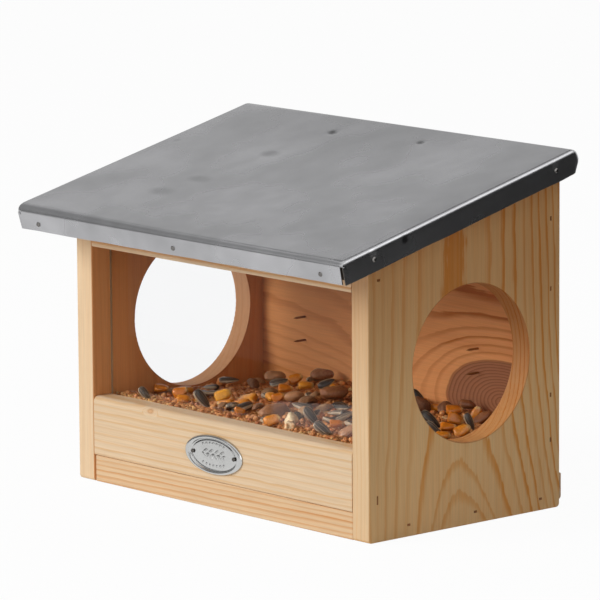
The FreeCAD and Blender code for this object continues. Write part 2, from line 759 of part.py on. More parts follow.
def build_nodes():
    """Every sub-part by its node name."""
    left_nails, left_holes = side_brads(-1)
    right_nails, right_holes = side_brads(1)
    staples = [lip_staple(-1), lip_staple(1)]
    long_brads = batten_brads()
    body_screws = hinge_body_screws()
    pins = badge_pins()
    plate_screws = keyhole_screws()
    nails = flange_nails()
    roof_screws = hinge_roof_screws()

    nodes = {}
    nodes["left_side_panel"] = drill(side_panel(-1), left_nails + left_holes + staples[:1])
    nodes["right_side_panel"] = drill(side_panel(1), right_nails + right_holes + staples[1:])
    nodes["floor_board"] = drill(floor_board(), left_nails + right_nails)
    nodes["front_lip_board"] = drill(front_lip_board(), staples + pins)
    nodes["front_top_rail"] = drill(front_top_rail(), left_nails + right_nails)
    nodes["back_panel"] = drill(back_panel(), left_nails + right_nails + long_brads + body_screws)
    nodes["window_pane"] = window_pane()
    nodes["mounting_batten"] = drill(mounting_batten(), long_brads + plate_screws)
    nodes["keyhole_plate_left"] = drill(keyhole_plate(-1), plate_screws[:2])
    nodes["keyhole_plate_right"] = drill(keyhole_plate(1), plate_screws[2:])
    nodes["keyhole_screws"] = Part.makeCompound(plate_screws)
    nodes["side_brads_left"] = Part.makeCompound(left_nails)
    nodes["side_brads_right"] = Part.makeCompound(right_nails)
    nodes["lip_staples"] = Part.makeCompound(staples)
    nodes["batten_brads"] = Part.makeCompound(long_brads)
    nodes["badge_plate"] = drill(badge_plate(), pins)
    nodes["badge_pins"] = Part.makeCompound(pins)
    nodes["seed_mix"] = drill(seed_mix(), left_nails + right_nails + long_brads)

    nodes["roof_board"] = in_roof_axes(drill(roof_board(), nails + roof_screws))
    nodes["roof_sheet"] = in_roof_axes(drill(roof_sheet(), nails + roof_screws))
    nodes["roof_flange_nails"] = in_roof_axes(Part.makeCompound(nails))
    nodes["hinge_roof_screws"] = in_roof_axes(Part.makeCompound(roof_screws))
    nodes["hinge_body_screws"] = Part.makeCompound(body_screws)
    for side, name in ((-1, "left"), (1, "right")):
        nodes["hinge_body_leaf_" + name] = drill(hinge_body_leaf(side), body_screws)
        nodes["hinge_roof_leaf_" + name] = in_roof_axes(drill(hinge_roof_leaf(side), roof_screws))
        nodes["hinge_pin_" + name] = hinge_pin(side)
    return nodes


def main():
    os.makedirs("parts", exist_ok=True)
    for name, shape in build_nodes().items():
        shape.exportStep(os.path.join("parts", name + ".step"))
        print(name, len(shape.Solids), round(shape.Volume, 1), shape.isValid())
    print("hinge axis y, z:", round(AXIS_Y, 3), round(AXIS_Z, 3))


main()
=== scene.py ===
import math

import bmesh
import bpy
import numpy as np
from mathutils import Matrix, Vector, noise


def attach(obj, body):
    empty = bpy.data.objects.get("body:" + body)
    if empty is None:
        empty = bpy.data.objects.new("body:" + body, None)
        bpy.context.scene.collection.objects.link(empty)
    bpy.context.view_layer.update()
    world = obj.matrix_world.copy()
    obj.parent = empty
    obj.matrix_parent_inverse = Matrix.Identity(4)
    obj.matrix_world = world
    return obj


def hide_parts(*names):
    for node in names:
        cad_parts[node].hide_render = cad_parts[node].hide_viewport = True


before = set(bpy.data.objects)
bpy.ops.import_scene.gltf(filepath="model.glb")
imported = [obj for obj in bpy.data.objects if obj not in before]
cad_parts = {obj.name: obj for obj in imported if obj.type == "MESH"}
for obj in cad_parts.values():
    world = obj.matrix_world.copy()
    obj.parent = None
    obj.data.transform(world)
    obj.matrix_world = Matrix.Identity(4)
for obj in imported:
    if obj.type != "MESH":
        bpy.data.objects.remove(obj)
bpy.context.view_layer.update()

MM = 0.001

# Camera: fitted to the object's straight edges and hole rims
CAMERA_AZIMUTH = 48.43
CAMERA_ELEVATION = 9.68
CAMERA_ROLL = -0.3835
CAMERA_DISTANCE = 2.6861
CAMERA_TARGET = Vector((-26.4, 13.25, 95.6)) * MM
CAMERA_LENS = 311.0
SENSOR_WIDTH = 36.0
CLIP_END = 50.0

# Studio: light of the world, power of the lamps, and the floor's size and share of plain white
WHITE = (1.0, 1.0, 1.0)
WORLD_LIGHT = 0.27
KEY_POWER = 32.0
FILL_POWER = 7.1
TOP_POWER = 1.2
FLOOR_REACH = 12.0
FLOOR_HEIGHT = -0.0002
FLOOR_GLOW = 0.96

# Cards that the roof's sheet and the pane mirror: how light they are, and their corners in metres
CARD_RIGHT = ((0.2, 1.3, 0.0), (0.67, -0.1, 0.0), (0.67, -0.1, 0.6), (0.2, 1.3, 0.6))
MIRRORED_CARDS = {
    "card_left": (0.27, ((-0.95, 0.1, 0.0), (-0.95, -1.15, 0.0), (-0.8, -0.95, 1.25), (-0.95, 0.1, 1.25))),
    "card_above": (0.60, ((-1.2, 0.0, 0.0), (-0.3, 1.35, 0.0), (-0.3, 1.35, 1.05), (-1.2, 0.0, 1.05))),
    "card_high": (0.05, ((-1.15, 0.1, 1.05), (-0.45, 1.15, 1.05), (-0.22, 0.75, 1.42), (-0.75, -0.1, 1.42))),
    "card_floor_back": (0.1, (
        (-0.6, 0.75, 0.002), (0.1, 0.5, 0.002), (0.3, 1.5, 0.002), (-0.7, 1.5, 0.002),
    )),
    "card_low": (0.0, (
        (-0.60, -0.13, 0.026), (-0.062, -0.13, 0.026), (-0.062, -0.13, 0.036), (0.03, -0.13, 0.045),
        (0.03, -0.13, 0.056), (-0.60, -0.13, 0.056),
    )),
    "card_floor_left": (0.15, (
        (-1.0, -0.31, 0.002), (-1.4, -1.3, 0.002), (-0.2, -1.6, 0.002), (0.02, -0.62, 0.002),
        (-0.16, -0.31, 0.002),
    )),
    "card_pane": (0.05, (
        (-0.8, -0.31, 0.003), (-0.9, -0.7, 0.003), (-0.1, -0.7, 0.003), (-0.1, -0.31, 0.003),
    )),
    "card_floor_right": (0.1, (
        (0.16, -0.1, 0.002), (0.9, -0.6, 0.002), (1.4, 0.4, 0.002), (0.9, 1.5, 0.002), (0.1, 1.2, 0.002),
    )),
}
SEEN_THROUGH_PANE = ("card_low", "card_pane")

# Card that grows lighter from the first y to the second, in mm, and how light it ends
GRADED_CARD = ("card_left", -550.0, 100.0, 0.58)

# Wood colours, linear: pale early wood and orange late wood of each group of boards
FRONT_EARLY = (0.82, 0.62, 0.41)
FRONT_LATE = (0.66, 0.33, 0.12)
LEFT_EARLY = (0.86, 0.64, 0.41)
LIP_EARLY = (0.80, 0.61, 0.41)
LIP_LATE = (0.72, 0.42, 0.17)
FLOOR_EARLY = (0.79, 0.57, 0.35)
FLOOR_LATE = (0.66, 0.30, 0.10)
RIGHT_EARLY = (0.89, 0.575, 0.275)
RIGHT_LATE = (0.76, 0.31, 0.06)
BACK_EARLY = (0.88, 0.637, 0.40)
BACK_LATE = (0.50, 0.225, 0.065)

# Knots, in mm: own_ring is the width of a knot's rings, bent_ring that of the lines that bend round it
# within reach, centre_ring the number of the ring at its centre, and squeeze is 1 for a round one
LIP_KNOT = {
    "along": -54.4, "across": 43.4, "squeeze": 0.5, "radius": 0.9, "centre_ring": 26.2, "bent_ring": 9.0,
    "reach": 1.2, "own_ring": 1.2, "dark": (0.62, 0.32, 0.15), "light": (0.72, 0.45, 0.24),
}
BACK_KNOT = {
    "along": 84.5, "across": 51.4, "squeeze": 0.52, "radius": 21.5, "centre_ring": -7.0, "bent_ring": 4.4,
    "reach": 26.0, "own_ring": 1.5, "dark": (0.262, 0.145, 0.105), "light": (0.405, 0.265, 0.21),
}

# Tints: (axis, from, to, colour) where a board turns darker or paler; most are painted shade or painted
# light
# Painted shade: the left panel's inner face darker and redder inside the box
INSIDE_SHADE = ("x", -100.8, -100.3, (0.78, 0.47, 0.275))
# Painted shade: the back panel's inner face darker and redder inside the box
BACK_INSIDE_SHADE = ("y", 53.6, 53.0, (0.84, 0.51, 0.295))
# Painted shade: the right side darker towards the roof above it
UPPER_SHADE = ("z", 50.0, 130.0, (0.78, 0.69, 0.62))
FRONT_TINT = ("y", -30.0, -62.0, (0.90, 0.89, 0.87))
# Painted light: the right panel's front edge paler and cooler than its shaded side
EDGE_LIGHT_TINT = ("y", -65.2, -65.45, (1.00, 1.11, 1.40))

# Fades: (axis, from, to, share left) where a board's lines grow weaker
RIGHT_FADES = (("y", -28.0, -42.0, 0.45), ("y", -65.2, -65.45, 0.5))
BACK_FADES = (("x", 50.0, 20.0, 0.5),)

# Painted shade within a circle: (axes, centre, centre, radius, colour) of what is tinted inside it, for the
# bores of the entry holes and the roof board's corner behind the front right slit
LEFT_BORE_SHADE = ("yz", 4.0, 82.0, 40.2, (0.64, 0.45, 0.35))
RIGHT_BORE_SHADE = ("yz", 4.0, 82.0, 40.2, (0.65, 0.50, 0.39))
# Painted shade: the roof board's corner behind the sheet's front right slit, nearly black
SLIT_CORNER_SHADE = ("xy", 117.0, -87.5, 5.0, (0.05, 0.04, 0.04))

# Noises of the wood: scale along, across and into the board, and detail
RING_SWAY = (0.006, 0.03, 0.03, 2.0)
ARCH_SWAY = (0.011, 0.022, 0.02, 1.0)
BACK_SWAY = (0.012, 0.02, 0.02, 2.0)
RIPPLE = (0.045, 0.11, 0.11, 3.0)
JAG = (0.03, 0.7, 0.7, 2.0)
FIBRE = (0.03, 1.5, 1.5, 4.0)
STREAK = (0.008, 0.14, 0.14, 3.0)
PORE = (0.25, 3.5, 3.5, 1.0)
THIN_LINE = (0.006, 0.75, 0.75, 1.0)

# Right panel's arches: apex height, middle, outer face, sway and leans, in mm
ARCH_TOP = 34.2
ARCH_MIDDLE = -6.2
ARCH_FACE = 112.5
ARCH_WARP = 7.0
ARCH_LEAN_ABOVE = -0.02
ARCH_LEAN_BELOW = -0.15

# Their measure, in square mm: its rise above the apex, its growth per mm below it and into the board,
# and what the broad dark band and the rings in it and beside it take of it
ARCH_RISE = 590.0
ARCH_RISE_HEIGHT = 45.0
ARCH_FALL = 13.5
ARCH_DEEPEN = 214.0
ARCH_BAND = 430.0
ARCH_BAND_RING = 215.0
ARCH_RING = 600.0

# Back panel's lines, in mm: height of the strongest, rise along the board, sway, and ring widths
BACK_LEVEL = 88.7
BACK_DEPTH_SHARE = 0.5
BACK_RISE = 0.09
BACK_WARP = 9.0
BACK_RING_ABOVE = 14.0
BACK_RING_BELOW = 5.5

# Roof: its own axes run across, up the slope from the front flange and square to it
ROOF_TILT = math.radians(14.12)
ROOF_ORIGIN = (0.0, -91.2, 133.24)
HALF_WIDTH = 125.1
ROOF_LENGTH = 163.75
ROOF_DEPTH = 12.3
ROOF_TOP_LIMIT = 184.66

# Sheet: thickness, folds, corner slits and spacing of its points
SHEET_THICKNESS = 0.6
SHEET_BEND = 2.8
SIDE_BEND = 2.7
FRONT_REACH = 3.4
SLIT_LOW = 122.9
SLIT_TOP = 9.6
SLIT_WIDENING = 0.7
SLIT_RUN = 8.0
REAR_SLIT = (120.3, 121.1)
CORNER_ROUND = 0.3
SHEET_STEP = 1.6
BEND_STEPS = 12
FLANGE_STEPS = 7

# Roof board under the sheet: upright faces, top, and its right corners' cuts across and along
CORE_INSET = 0.7
CORE_UPRIGHT = 6.6
CORE_TOP_INSET = 4.2
CORE_TOP = 9.9
CORE_FRONT_CUT = (13.0, 13.0)
CORE_REAR_CUT = (6.0, 3.6)

# Dents of the roof's top in its own axes: across, up the slope, radius and depth
DENTS = (
    (-33.5, 141.6, 2.6, 0.8),
    (-33.5, 141.6, 8.0, 0.12),
    (30.4, 144.7, 2.0, 0.6),
    (30.4, 144.7, 6.0, 0.10),
    (-42.8, 105.3, 4.0, 0.22),
    (-51.3, 63.5, 5.0, 0.14),
    (-57.9, 42.7, 5.0, 0.12),
    (-115.0, 103.5, 3.0, 0.2),
)
CREASE_START = (-60.0, 36.0)
CREASE_END = (-33.5, 141.6)
CREASE_WIDTH = 4.0
CREASE_DEPTH = 0.05

# Bends of the whole sheet, in mm; a run is how far one reaches, a tuck how far a corner stands in
REAR_RISE = 0.25
REAR_RISE_RUN = 60.0
RIGHT_DROP = 0.25
RIGHT_DROP_RUN = 6.0
CORNER_LIFT = 1.9
CORNER_LIFT_START = 50.0
CORNER_LIFT_RUN = 175.0
FLANGE_PUSH = 0.5
FLANGE_RUN = 4.0
CORNER_TUCK = (0.5, 16.0)
REAR_TUCK = (0.5, 2.0)
REAR_TUCK_RUN = 12.0
REAR_BULGE = 3.0

# Marks on the sheet in the roof's axes: across, up, high, stretch across, radius, change of tone
ZINC = (0.46, 0.46, 0.473)
SHEET_SHADE_LIGHT_AND_SMUDGES = (
    # painted shade in the dents of the top
    (-33.5, 141.6, 12.3, 0.8, 3.4, -0.55),
    (30.4, 144.7, 12.3, 0.8, 2.6, -0.55),
    (-42.8, 105.3, 12.3, 0.7, 6.0, -0.30),
    (-51.3, 63.5, 12.3, 0.5, 6.0, -0.22),
    (-57.9, 42.7, 12.3, 0.6, 7.0, -0.24),
    # broad darker patch towards the rear of the top
    (-30.0, 155.0, 12.3, 0.5, 62.0, -0.15),
    # painted shade in the dent near the left edge
    (-115.0, 103.5, 12.3, 1.0, 3.5, -0.15),
    # dark smudge on the right flange
    (125.1, 42.0, 8.6, 1.0, 3.2, -0.75),
    # painted highlights: pale spots on the right flange
    (125.1, 20.6, 9.0, 1.0, 3.2, 0.9),
    (125.1, 147.6, 9.0, 1.0, 3.0, 0.6),
)

# Badge on the lip: middle of its back, half its size, top of its relief, and its mesh
BADGE_CENTRE = (-3.9, -65.5, 28.0)
BADGE_HALF = (22.0, 10.15)
BADGE_RELIEF_TOP = 1.6
BADGE_RINGS = 56
BADGE_TURNS = 256
BEADS = 7
LEAVES = 4

# Feed: the bed's box, and heights of the heap's surface at places across and back
FEED_X = 99.6
FEED_Y = (-51.1, 52.1)
FEED_BOTTOM = 14.2
FEED_HEIGHTS = (
    (-99, 52, 41), (-87, 52, 43), (-40, 52, 51), (0, 52, 50), (67, 52, 47), (80, 52, 48),
    (-100, -50, 49), (-100, -27, 46), (-100, -3, 44), (-94, 34, 42), (-83, 14, 45),
    (0, -48, 44), (60, -48, 45), (95, -48, 46), (0, 0, 47), (50, 0, 48), (71, 34, 50), (97, 10, 45),
)
HEIGHT_BLUR = 150.0
BED_DROP = 4.5
BED_POINTS = (100, 52)

# Kinds of feed: half sizes in mm, number in the heap, how much one seed differs from the next, how
# uneven it is as a share of its girth, and how fine its bumps are
FEED_KINDS = {
    "nut": ((8.4, 5.2, 4.2), 5, 0.2, 0.3, 1.5),
    "sunflower": ((6.3, 3.0, 1.8), 28, 0.14, 0.08, 1.0),
    "maize": ((4.6, 3.8, 2.5), 22, 0.2, 0.25, 1.1),
    "popped": ((4.2, 3.6, 3.2), 4, 0.25, 0.8, 1.7),
    "husk": ((5.0, 3.2, 1.3), 16, 0.35, 0.35, 1.4),
    "wheat": ((3.2, 1.5, 1.35), 150, 0.15, 0.1, 1.0),
    "milo": ((1.6, 1.5, 1.4), 4400, 0.25, 0.15, 1.0),
    "millet": ((0.95, 0.9, 0.85), 900, 0.12, 0.05, 1.0),
}
COARSE = ("nut", "sunflower", "maize", "popped", "husk")
FORMS_OF_KIND = 5
COARSE_MESH = (11, 16)
FINE_MESH = (6, 8)

# Settling, in mm: cell of the level map, places tried for a seed, how far coarse seeds keep from the
# front and from placed ones, millet's spread from the front, and the least gap that takes a seed
FEED_SEED = 47
FEED_CELL = 0.5
COARSE_TRIES = 9
FINE_TRIES = 6
COARSE_SETBACK = 12.0
CLEAR_OF_PLACED = 7.5
MILLET_SPREAD = 4.0
LEAST_GAP = 0.5

# Leans of the placed seeds: direction of the point and of the flat side
TO_VIEW = (0.65, -0.55, 0.5)
SKYWARD = (0.2, -0.3, 0.9)
FLAT = ((0.66, 0.75, 0.0), SKYWARD)
DOWN = ((0.5, 0.57, -0.65), TO_VIEW)
STEEP = ((0.4, 0.45, -0.8), TO_VIEW)
RISING = ((0.6, 0.68, 0.4), TO_VIEW)

# Seeds placed one by one, by kind: place, lean, size and tone
HAND_PLACED = {
    "nut": (
        ((67, 44, 49.5), ((0.66, 0.75, -0.3), SKYWARD), 0.55, 0.1),
        ((89, 34, 47), ((0.5, 0.57, 0.45), SKYWARD), 0.62, 0.1), ((-59, 25, 49.5), FLAT, 0.68, 0.9),
        ((-40, 41, 51), FLAT, 0.75, 0.4), ((-6, 19, 49), ((0.66, 0.75, 0.08), SKYWARD), 0.88, 0.2),
        ((-18, 2, 47.5), ((0.66, 0.75, 0.12), SKYWARD), 0.62, 1.0),
        ((62, -32, 45), ((0.6, 0.68, 0.4), SKYWARD), 0.7, 0.7),
    ),
    "sunflower": (
        ((38, 37, 50), ((0.4, 0.45, -0.6), TO_VIEW), 0.85, 0.1), ((77, 9, 47.5), DOWN, 1.0, 0.2),
        ((88, 1, 45), DOWN, 0.9, 0.6), ((92, 22, 47), ((0.3, 0.3, -0.9), TO_VIEW), 0.75, 0.3),
        ((-82, -45, 46), STEEP, 0.75, 0.5), ((-49, -34, 46.5), STEEP, 0.95, 0.3),
        ((-80, 11, 46.5), FLAT, 0.85, 0.4),
        ((-46, 16, 49.5), ((0.66, 0.75, 0.25), (0.5, -0.4, 0.7)), 0.8, 0.6),
        ((-20, 26, 51), RISING, 0.75, 0.0), ((48, -37, 44.5), DOWN, 0.95, 0.7),
        ((22, -22, 46), STEEP, 0.9, 0.4),
    ),
    "maize": (
        ((69, 33, 48.5), FLAT, 0.95, 0.1), ((84, 20, 47.5), ((0.66, 0.75, -0.35), TO_VIEW), 0.95, 0.2),
        ((89, 10, 45.5), FLAT, 0.9, 0.0), ((95, 14, 44), RISING, 1.0, 0.35),
        ((81, 37, 47.5), ((0.25, 0.25, 0.9), TO_VIEW), 0.85, 0.3), ((96, 0, 43.5), FLAT, 0.8, 0.3),
        ((-89, -28, 46), FLAT, 0.85, 0.2), ((-70, -31, 47), RISING, 0.9, 0.0),
        ((-64, -34, 44.5), ((0.66, 0.75, 0.0), TO_VIEW), 0.8, 0.3), ((-50, -19, 46.5), RISING, 1.0, 0.9),
        ((-43, 25, 50.5), RISING, 0.85, 0.2), ((-34, 10, 48.5), FLAT, 0.85, 0.1),
        ((-26, -2, 46.5), RISING, 0.75, 0.0), ((-29, 20, 49.5), FLAT, 0.9, 0.5),
        ((11, -39, 44.5), RISING, 0.95, 0.35), ((48, -28, 46.5), FLAT, 0.8, 0.0),
    ),
    "popped": (
        ((19, -33, 45), RISING, 0.9, 0.9), ((24, -38, 43), DOWN, 0.75, 0.6),
    ),
    "husk": (
        ((50, 28, 49), DOWN, 1.1, 0.1),
    ),
}


class Value:
    """Number that a shader node gives, for sums in the usual signs."""

    def __init__(self, shader, socket):
        self.shader = shader
        self.socket = socket


def value_method(operation):
    """Method of a value that adds a math node."""
    return lambda value, *others: value.shader.math(operation, value, *others)


for method, operation in {
    "__add__": "ADD", "__sub__": "SUBTRACT", "__mul__": "MULTIPLY", "__truediv__": "DIVIDE",
    "__abs__": "ABSOLUTE", "at_least": "MAXIMUM", "at_most": "MINIMUM", "below": "LESS_THAN",
    "whole": "FLOOR", "fraction": "FRACT", "power": "EXPONENT", "root": "SQRT",
}.items():
    setattr(Value, method, value_method(operation))


class Shader:
    """Node tree of a new material or world, with short calls for the nodes used here."""

    def __init__(self, name, kind="materials"):
        self.owner = getattr(bpy.data, kind).new(name)
        self.owner.use_nodes = True
        self.nodes = self.owner.node_tree.nodes
        self.links = self.owner.node_tree.links
        self.surface = self.nodes.get("Principled BSDF")

    def feed(self, socket, value):
        """Link a value or output to a socket, or set the socket."""
        if isinstance(value, Value):
            value = value.socket
        if isinstance(value, bpy.types.NodeSocket):
            self.links.new(value, socket)
        else:
            if isinstance(value, tuple) and len(value) == 3 and socket.type == "RGBA":
                value = (*value, 1.0)
            socket.default_value = value

    def node(self, kind, *values, **named):
        """New node: settings by name, inputs by name with a capital or in order."""
        node = self.nodes.new("ShaderNode" + kind)
        for name, value in named.items():
            if name[0].isupper():
                self.feed(node.inputs[name], value)
            else:
                setattr(node, name, value)
        for socket, value in zip(node.inputs, values):
            self.feed(socket, value)
        return node

    def set(self, name, value):
        self.feed(self.surface.inputs[name], value)

    def look(self, colour, rough, metallic=0.0):
        self.set("Base Color", colour)
        self.set("Roughness", rough)
        self.set("Metallic", metallic)

    def math(self, operation, *values):
        return Value(self, self.node("Math", *values, operation=operation).outputs[0])

    def length(self, first, *others):
        """Length of parts that are square to each other."""
        return sum((part * part for part in others), first * first).root()

    def rays(self, *names):
        """Facts of the light path."""
        path = self.node("LightPath").outputs
        return [Value(self, path[name]) for name in names]

    def spot(self):
        """Place on the object in millimetres."""
        place = self.node("TexCoord").outputs["Object"]
        return self.node("VectorMath", place, operation="SCALE", Scale=1 / MM).outputs[0]

    def place(self):
        """Place on the object in millimetres, as X, Y and Z."""
        split = self.node("SeparateXYZ", self.spot())
        return {axis: Value(self, output) for axis, output in zip("xyz", split.outputs)}

    def join(self, x, y, z):
        return self.node("CombineXYZ", x, y, z).outputs[0]

    def noise(self, vector, scale, detail=2.0, rough=0.5):
        node = self.node("TexNoise", Vector=vector, Scale=scale, Detail=detail, Roughness=rough)
        return Value(self, node.outputs[0])

    def grain(self, board, seed, scales, rough=0.5):
        """Noise in a board, drawn out along it."""
        a, b, c = board
        along, across, deep, detail = scales
        return self.noise(self.join(a * along + seed, b * across, c * deep), 1.0, detail, rough)

    def chance(self, value):
        """A steady random number for each whole value."""
        return self.node("TexWhiteNoise", noise_dimensions="1D", W=value).outputs["Value"]

    def ease(self, value, low, high, start=0.0, end=1.0):
        """Smooth step from start at low to end at high; low may lie above high."""
        node = self.node("MapRange", value, low, high, start, end, interpolation_type="SMOOTHSTEP")
        return Value(self, node.outputs[0])

    def spread(self, value, low, high):
        """Noise spread from low to high."""
        return self.ease(value, 0.3, 0.7, low, high)

    def mix(self, share, first, second, blend="MIX"):
        node = self.node("Mix", share, data_type="RGBA", blend_type=blend)
        self.feed(node.inputs[6], first)
        self.feed(node.inputs[7], second)
        return node.outputs[2]

    def toned(self, colour, tone):
        """Colour times a tone or another colour."""
        if isinstance(tone, Value):
            tone = self.join(tone, tone, tone)
        return self.mix(1.0, colour, tone, "MULTIPLY")

    def bump(self, height, strength, distance):
        node = self.node("Bump", Strength=strength, Distance=distance * MM, Height=height)
        self.set("Normal", node.outputs[0])

    def blend(self, share, first, second):
        """Show one surface node where share is 0 and another where it is 1."""
        node = self.node("MixShader", share, first.outputs[0], second.outputs[0])
        self.feed(self.nodes["Material Output"].inputs[0], node.outputs[0])


def add(name, data):
    """New object in the scene."""
    obj = bpy.data.objects.new(name, data)
    bpy.context.collection.objects.link(obj)
    return obj


def pith_rings(pith, drift, ring, warp):
    """Growth rings about a pith line, which drifts along the board."""

    def measure(shader, board, seed):
        a, b, c = board
        sway = (shader.grain(board, seed, RING_SWAY) - 0.5) * warp
        side = a * -drift[0] + b - pith[0] + sway
        depth = a * -drift[1] + c - pith[1]
        return shader.length(side, depth) / ring

    return measure


def arched_rings(shader, board, seed):
    """Rings of the right panel: arches at its foot, straight lines and one broad dark band above."""
    a, b, c = board
    sway = (shader.grain(board, seed, ARCH_SWAY) - 0.5) * ARCH_WARP
    over = (a - ARCH_TOP).at_least(0.0)
    under = (a - ARCH_TOP).at_most(0.0)
    middle = under * ARCH_LEAN_BELOW + ARCH_MIDDLE
    middle = over * ARCH_LEAN_ABOVE + middle
    side = b - middle + sway
    fade = (over * (-1 / ARCH_RISE_HEIGHT)).power()
    rise = shader.math("SUBTRACT", 1.0, fade) * ARCH_RISE
    depth = (c - ARCH_FACE) * ARCH_DEEPEN
    measure = side * side + (under * ARCH_FALL + rise + depth)
    outer = measure.at_least(0.0) / ARCH_RING
    band = measure.at_most(0.0).at_least(-ARCH_BAND) / ARCH_BAND_RING
    core = (measure + ARCH_BAND).at_most(0.0) / ARCH_RING
    return outer + band + core


def sweeping_rings(shader, board, seed):
    """Rings of the back panel: nearly level lines, close below and wide apart above."""
    a, b, c = board
    sway = (shader.grain(board, seed, BACK_SWAY) - 0.5) * BACK_WARP
    level = a * BACK_RISE + (b + sway) - BACK_LEVEL
    level = c * BACK_DEPTH_SHARE + level
    return level.at_least(0.0) / BACK_RING_ABOVE + level.at_most(0.0) / BACK_RING_BELOW


def bend_round(shader, knot, board, ripple, phase):
    """Rings bent round a knot, and the distance from its centre."""
    a, b, _ = board
    distance = shader.length((a - knot["along"]) * knot["squeeze"], b - knot["across"])
    distance = ripple * min(knot["radius"] * 0.35, 1.6) + distance
    ratio = (distance - knot["radius"]).at_least(0.0) / knot["reach"]
    near = (ratio * ratio * -1.0).power()
    round_it = distance * (1 / knot["bent_ring"]) + knot["centre_ring"]
    return near * (round_it - phase) + phase, distance


def knot_colour(shader, knot, distance, colour):
    """Colour a knot's own rings and its dark edge."""
    radius = knot["radius"]
    turn = (distance / knot["own_ring"]).fraction()
    core = shader.mix(shader.ease(turn, 0.35, 0.95), knot["light"], knot["dark"])
    colour = shader.mix(shader.ease(distance, radius * 0.96, radius * 1.02, 1.0, 0.0), colour, core)
    edge = shader.ease(abs(distance - radius), 0.0, 0.8, 0.5, 0.0)
    return shader.mix(edge, colour, knot["dark"])


def wood(name, axes, rings, seed, early, late, rise=0.5, vary=0.5, late_share=0.8, thin_share=0.16,
         knots=(), tints=(), fades=(), rim=None):
    """Planed pine. axes name the object's axes along, across and into the board.

    A ring turns dark from rise on. vary is how much rings differ in width, late_share how dark the late
    wood is, and thin_share how strong the thin lines are.
    """
    shader = Shader(name)
    place = shader.place()
    board = [place[axis] for axis in axes]
    ripple = shader.grain(board, seed, RIPPLE) - 0.5
    jag = shader.grain(board, seed + 7.0, JAG) - 0.5
    phase = rings(shader, board, seed) + ripple * 0.35 + jag * 0.3
    distances = []
    for knot in knots:
        phase, distance = bend_round(shader, knot, board, ripple, phase)
        distances.append(distance)
    width_noise = shader.noise(shader.join(phase * 0.4, seed, 0.0), 1.0, 1.0)
    phase = (width_noise - 0.5) * (vary * 2) + phase

    part = phase.fraction()
    strength = shader.ease(shader.chance(phase.whole()), 0.0, 1.0, 0.5, 1.0)
    dark = shader.ease(part, rise, 0.88) * shader.ease(part, 0.93, 1.0, 1.0, 0.0) * strength
    fibre = shader.grain(board, seed, FIBRE, 0.65)
    share = dark * late_share
    share = share + shader.ease(shader.grain(board, seed, STREAK), 0.45, 0.75, 0.0, 0.18)
    share = share + shader.ease(shader.grain(board, seed, THIN_LINE), 0.4, 0.7, 0.0, thin_share)
    share = shader.ease(shader.grain(board, seed, PORE), 0.66, 0.76) * 0.10 + share
    for axis, start, end, left in fades:
        share = share * shader.ease(place[axis], start, end, 1.0, left)

    colour = shader.mix(share, early, late)
    for knot, distance in zip(knots, distances):
        colour = knot_colour(shader, knot, distance, colour)
    # Tints: painted shade inside the box and under the roof, painted light on the right front edge, and one
    # plain darkening
    for axis, start, end, tint in tints:
        depth = shader.ease(place[axis], start, end, 0.0, 1.0)
        colour = shader.mix(depth, colour, shader.toned(colour, tint))
    # Painted shade inside a circle: the bores of the entry holes, and the roof board's corner behind the
    # slit
    if rim:
        (first_axis, second_axis), first, second, radius, tint = rim
        away = shader.length(place[first_axis] - first, place[second_axis] - second)
        painted_shade = shader.ease(away, radius + 0.05, radius + 0.4, 1.0, 0.0)
        colour = shader.mix(painted_shade, colour, shader.toned(colour, tint))
    shader.look(shader.toned(colour, shader.spread(fibre, 0.94, 1.05)), shader.spread(fibre, 0.52, 0.68))
    shader.set("Specular IOR Level", 0.3)
    shader.bump(dark * 0.6 + fibre, 0.25, 0.2)
    return shader.owner


def paint(node, material):
    """Give a CAD node one material in all its slots."""
    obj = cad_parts[node]
    if not obj.material_slots:
        obj.data.materials.append(material)
    for entry in obj.material_slots:
        entry.link = "OBJECT"
        entry.material = material


